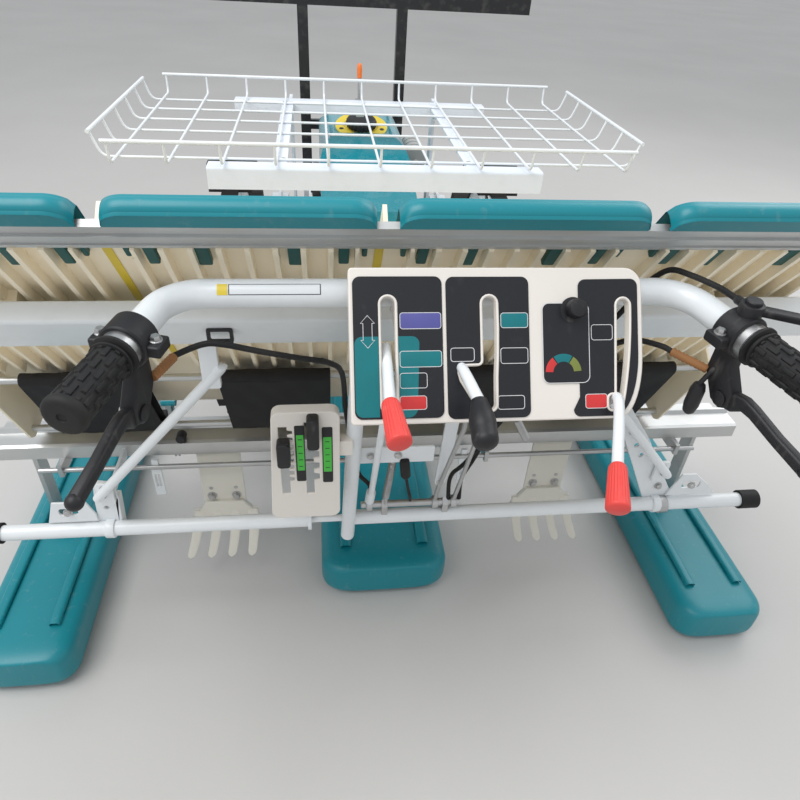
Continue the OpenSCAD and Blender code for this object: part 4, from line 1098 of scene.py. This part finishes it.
def spring(shape, first, last):
    """Coil of 24 turns at radius 5 between two points, a hook at each end."""
    first, last = np.array(first, float), np.array(last, float)
    along = unit(last - first)
    side = unit(np.cross(along, [0.0, 1, 0]))
    lift = np.cross(along, side)
    t = np.linspace(0, 1, 420)[:, None]
    swirl = 2 * pi * 24 * t
    coil = first + (last - first) * t + 5 * (side * np.cos(swirl) + lift * np.sin(swirl))
    shape.tube(coil, 1.1, 6)
    for end, out in ((first, -along), (last, along)):
        shape.tube(through([end + 5 * side, end + 9 * out, end + 18 * out + 2 * side], 6), 1.2, 8)


def linkage():
    """Rods from the levers to the cross shaft at the rear tube, its lugs, plate and springs."""
    steel, white, black = Shape(), Shape(), Shape()
    rod_a = [LEVER_A[0], (-41, 10, 598), (-44, 106, 372), (-46, 113, 349)]
    white.tube(bent(rod_a, 12), 5, 18)
    white.lathe((-44, 106, 380), (-46, 113, 349), [(0, 5), (1, 8), (28, 8), (30, 5)], 20)
    rod_b = [LEVER_B[0], (74, 20, 586), (66, 104, 380), (66, 113, 345)]
    rod_c = [LEVER_C[0], (150, -20, 690), (112, 60, 560), (98, 113, 345)]
    for rod in (rod_b, rod_c):
        steel.tube(bent(rod, 12), 3.6, 16)
    for x in (-46, 66, 98):
        steel.lathe((x - 5.0, BAR_Y, SHAFT_Z), (x, BAR_Y, SHAFT_Z), collar(10, 6.1, 11), 28)
    steel.lathe((-60, BAR_Y, SHAFT_Z), (110, BAR_Y, SHAFT_Z), collar(170, 0.1, 6), 24)
    lug = [[107, 322], [123, 322], [124, 341], [115, 351], [106, 341]]
    for x in (-20, 84):
        steel.plate(lug, x - 5, x + 5, sideways, 1.2)
    arm = np.vstack([arc([74, 616], 11, 20, 160), [[59, 420]], arc([67, 404], 8.5, 180, 350),
                     [[79, 430]]])
    white.plate(arm, -80, -74, lambda x, z, out: upright(x, z, out - 0.11 * (616 - z)), 1)
    steel.bolt((67, 97, 404), BACK, 9, 5)
    white.plate(rounded(-70, 48, 470, 501, 3), -80, -76, upright, 1)
    for x in (-50, -8):
        steel.bolt((x, 76, 486), BACK, 9, 5)
    black.lathe((2, 76, 478), (8, 84, 430), [(0, 4), (2, 7), (8, 8), (42, 8), (48, 5), (49, 0.1)], 24)
    black.tube(through([(8, 84, 434), (14, 92, 400), (20, 100, 372), (23, 110, 352)], 8), 2.4, 12)
    spring(steel, (163, 66, 556), (190, 82, 506))
    spring(steel, (-14, 84, 468), (-20, 104, 366))
    steel.piece("lever_linkage", "bright_steel", stands_for=["control_linkage"])
    white.piece("lever_bars", "white_paint")
    black.piece("linkage_boot", "black_rubber")


def small_fittings():
    """Slotted tags ahead of the combs, a framed clip and a stop cap under the channel."""
    white, black = Shape(), Shape()
    for x0, x1 in ((-443, -425), (147, 165)):
        white.pierced(rounded(x0, x1, 218, 290, 3), [rounded(x0 + 4, x0 + 8, 240, 272, 1.9),
                                                     rounded(x1 - 8, x1 - 4, 240, 272, 1.9)],
                      -287, -283, upright, 0.6)
        white.plate(rounded(x0 + 3, x1 - 3, 286, 306, 1), -290, -284, upright, 0.6)
    black.pierced(rounded(-260, -228, 697, 719, 3), [rounded(-256, -232, 701, 715, 2)],
                  -66, -58, upright, 0.8)
    black.lathe((-383, 296, 342), (-383, 318, 342), [(0, 0.1), (0, 7), (2, 9), (20, 9), (22, 8),
                                                     (22, 0.1)], 24)
    white.piece("slotted_tags", "white_paint")
    black.piece("clip_and_stop", "black_plastic")


def handle_labels():
    """Blank yellow field and a blank framed field, wrapped on the handle's rear."""
    for name, finish, ends, turn, lift in (
            ("handle_field", "yellow_print", (-228, -217), (24, 68), 0.25),
            ("handle_frame", "black_film", (-216, -118), (24, 68), 0.2),
            ("handle_blank", "white_paint", (-215, -119), (27, 65), 0.3)):
        x = np.linspace(*ends, 24)[:, None]
        a = np.radians(np.linspace(*turn, 12))[None, :]
        r = TUBE_R + lift
        field = Shape().grid(in_handle(x - HANDLE_X, -r * np.cos(a), r * np.sin(a)))
        field.piece(name, finish, slot="white_paint")


def cables():
    """Held cables, smooth through the same points as their solids."""
    black = Shape()
    left = [on_leg(-1, 6, -14, -52), on_leg(-1, -2, -16, -52), (-247, -28, 751), (-226, -26, 749),
            (-186, -20, 735), (-144, -10, 719), (-110, 0, 705), (-94, 24, 672), (-88, 60, 590),
            (-80, 80, 520), (-66, 100, 430), (-46, 115, 385), (-46, 115, 347)]
    right = [on_leg(1, 6, -28, -53), on_leg(1, -10, -36, -52), (258, -8, 736), (236, 18, 706),
             (206, 46, 660), (170, 70, 600), (110, 100, 450), (89, 115, 400), (89, 115, 347)]
    thumb = [on_leg(1, 30, 3, 29), on_leg(1, 22, 3, 29), (322, -40, 824), (306, -8, 823),
             (294, 16, 818), (282, 30, 798), (267, 32, 770), (246, 38, 730), (215, 62, 680),
             (166, 92, 600), (122, 106, 450), (108, 115, 395), (108, 115, 347)]
    for route in (left, right, thumb):
        black.tube(through(route, 8), 3.5, 14)
    black.piece("held_cables", "black_rubber", stands_for=["control_cables"])


# COMBS AND FLOATS

COMB_X = [-321.0, 345.0]
SIDE_FLOAT_X, FLOAT_DECK = 655, 92


def combs():
    """Moulded plate, flared nose and four fingers that curve out and back to rounded tips."""
    cream, bright = Shape(), Shape()
    for side, middle in zip((-1, 1), COMB_X):
        def plan(x, z, out, side=side, middle=middle):
            """Upright plane about the comb's middle, turned round on the left."""
            return upright(middle + side * x, z, out)

        cream.plate([[-41, 150], [-41, 305], [41, 305], [41, 150]], -310, -306, plan, 0.8)
        nose = [[-41, 170], [-36, 176], [36, 176], [41, 170], [60, 140], [66, 122], [-66, 122],
                [-60, 140]]
        cream.plate(nose, -310, -298, plan, 2.5)
        u = np.linspace(0, 1, 26)[:, None]
        a = circle(20)[None, :]
        tip = domed(u, 0.9, 0.1, 2, 0.001)
        for k in (-1.5, -0.5, 0.5, 1.5):
            wide = (12 - 3.5 * u) * tip
            deep = (4.5 - 1.5 * u) * tip
            x = (35 + 6 * u) * k + 14 * u ** 2 + wide * fuller(np.cos(a), 0.7)
            out = -302 + 52 * u ** 1.6 + deep * fuller(np.sin(a), 0.7)
            cream.grid(plan(x, 152 - 88 * u, out), around=True, caps=True)
        for x in (-24, 24):
            bright.bolt(plan(x, 188, -306), BACK, 13, 8)
            bright.lathe(plan(x, 208, -306), plan(x, 208, -305), [(0, 4), (0.6, 4), (0.6, 0.1)], 20)
    cream.piece("combs_moulded", "comb_plastic", slot="cream_plastic", stands_for=["soil_combs"])
    bright.piece("comb_bolts", "bright_steel")


def hull(shape, middle, heel, tip, half_width, wider, rise, straight):
    """Blow-moulded float: at each y a superellipse |x/w|^5 + |z/h|^4.4 = 1, w(y) and h(y) easing
    to the round heel and rising to the blunt nose after the straight part."""
    y = np.r_[heel + 46 * (1 - np.cos(np.linspace(0, pi / 2, 16))),
              np.linspace(heel + 60, straight - 20, 24),
              straight + (tip - straight) * np.sin(np.linspace(0, pi / 2, 40))][:, None]
    back = np.sqrt(held(1 - (1 - held((y - heel) / 46)) ** 2))
    front = held((y - straight) / (tip - straight))
    blunt = domed(front, 0.3, 0.7, 2.6, 0.0004)
    a = circle(64)[None, :]
    width = half_width + wider * (1 - np.cos(pi * held((y - 740) / 140))) / 2
    width = width * (0.62 + 0.38 * back) * blunt * held(0.03 + back * 3)
    low = (rise - 16) * front ** 2.2 + 24 * (1 - back)
    high = FLOAT_DECK + (rise - FLOAT_DECK) * front ** 2 - 10 * (1 - back)
    x = middle + width * fuller(np.cos(a), 0.4)
    z = (low + high) / 2 + (high - low) / 2 * fuller(np.sin(a), 0.45)
    shape.grid(level(x, y, z), around=True, caps=True)


def ridge(shape, x, width, y0, y1):
    """Low rounded ridge along a float's deck."""
    low, high = FLOAT_DECK - 4, FLOAT_DECK + 3
    route = through([(x, y0, low), (x, y0 + 24, high), (x, y1 - 50, high), (x, y1, low)], 12)
    a = np.linspace(0, pi, 12)[None, :]
    across = width / 2 * fuller(np.cos(a), 0.6)
    shape.grid(level(route[:, :1] + across, route[:, 1:2], route[:, 2:] + 7 * np.sin(a) ** 0.6))


def hanger_block(shape, x, y):
    """Block on a float's deck, under its hanger."""
    shape.plate(rounded(x - 14, x + 14, y, y + 40, 3), FLOAT_DECK - 4, FLOAT_DECK + 20, level, 2)


def floats():
    """Two narrow side floats and the centre float, which widens ahead of the table."""
    sides, centre = Shape(), Shape()
    for middle in (-SIDE_FLOAT_X, SIDE_FLOAT_X):
        hull(sides, middle, heel=22, tip=922, half_width=88.0, wider=0, rise=106, straight=722)
        for x in (-50, 50):
            ridge(sides, middle + x, 18, 112, 722)
        hanger_block(sides, middle, 307)
    hull(centre, 0, heel=180, tip=1350, half_width=130, wider=60, rise=118, straight=1080)
    for x in (-80, 80):
        ridge(centre, x, 22, 270, 1080)
    for y in (640, 1020):
        hanger_block(centre, 0, y)
    sides.piece("side_float_hulls", "teal_plastic", stands_for=["side_floats"])
    centre.piece("centre_float_hull", "teal_plastic", stands_for=["centre_float"])


for build in (handle_tube, grips, clutch_levers, cable_boots, panel_shell, panel_prints, choke,
              stems, knobs, adjuster, extension_plates, plate_tabs, yellow_stripes, feed_belts,
              rack_frame, rack_basket, fuel_cap, centre_marker, support_channel, rear_brackets,
              linkage, cables, combs, small_fittings, handle_labels, floats):
    build()


# CAMERA, LIGHT AND FLOOR

# The camera's place in the lip frame, its angles in radians and its lens in mm.
EYE = np.array([-118.0, -643.3, 1131.4])
PITCH, YAW, ROLL = 0.6402, 0.1484, 0.0644
FOCAL = 28.797
SENSOR = 36.0
FLOOR_HALF = 30.0


def stand(name, data, right, up, back, at):
    """Puts a camera or lamp at a point in metres, turned to three axes."""
    holder = linked(name, data)
    turn = np.eye(4)
    turn[:3] = np.column_stack([right, up, back, at])
    holder.matrix_world = Matrix(turn.tolist())
    return holder


def camera():
    """The camera looks along yaw and pitch, then rolls about its own axis."""
    ahead = np.array([sin(YAW) * cos(PITCH), cos(YAW) * cos(PITCH), -sin(PITCH)])
    across = np.array([cos(YAW), -sin(YAW), 0.0])
    over = np.cross(across, ahead)
    right = cos(ROLL) * across + sin(ROLL) * over
    up = -sin(ROLL) * across + cos(ROLL) * over
    lens = bpy.data.cameras.new("camera")
    lens.sensor_width = SENSOR
    lens.lens = FOCAL
    lens.clip_end = 60.0
    bpy.context.scene.camera = stand("camera", lens, right, up, -ahead, place(EYE))


def lamp(name, at, toward, size, power):
    """A square soft light at a point, turned toward another, both in metres."""
    light = bpy.data.lights.new(name, "AREA")
    light.energy = power
    light.size = size
    back = unit(np.array(at) - np.array(toward))
    side = unit(np.cross([0.0, 1.0, 0.001], back))
    stand(name, light, side, np.cross(back, side), back, at)


def floor():
    """A wide pale floor with a faint trowelled tone."""
    corners = [(-FLOOR_HALF, -FLOOR_HALF, 0), (FLOOR_HALF, -FLOOR_HALF, 0),
               (FLOOR_HALF, FLOOR_HALF, 0), (-FLOOR_HALF, FLOOR_HALF, 0)]
    mesh = bpy.data.meshes.new("floor")
    mesh.from_pydata(corners, [], [(0, 1, 2, 3)])
    ground = linked("floor", mesh)
    f = Finish("floor", Roughness=0.75, Specular_IOR_Level=0.25)
    f.set(Base_Color=f.blend(f.noise(0.9, 6.0), rgb(186, 184, 181), rgb(204, 202, 199)))
    f.bump(f.noise(60.0, 4.0), 0.15, 0.002)
    mesh.materials.append(FINISHES["floor"])


def sky():
    """An even pale surround."""
    world = bpy.data.worlds.new("studio")
    world.use_nodes = True
    back = world.node_tree.nodes["Background"]
    back.inputs["Color"].default_value = (0.93, 0.96, 1.0, 1.0)
    back.inputs["Strength"].default_value = 0.75
    bpy.context.scene.world = world


camera()
floor()
sky()
lamp("key", at=(-1.6, -1.2, 3.6), toward=(0.0, -0.2, 0.5), size=2.4, power=90)
lamp("fill", at=(2.6, 1.0, 3.0), toward=(0.0, 0.1, 0.4), size=2.6, power=50)
bpy.context.scene.view_settings.view_transform = "Standard"
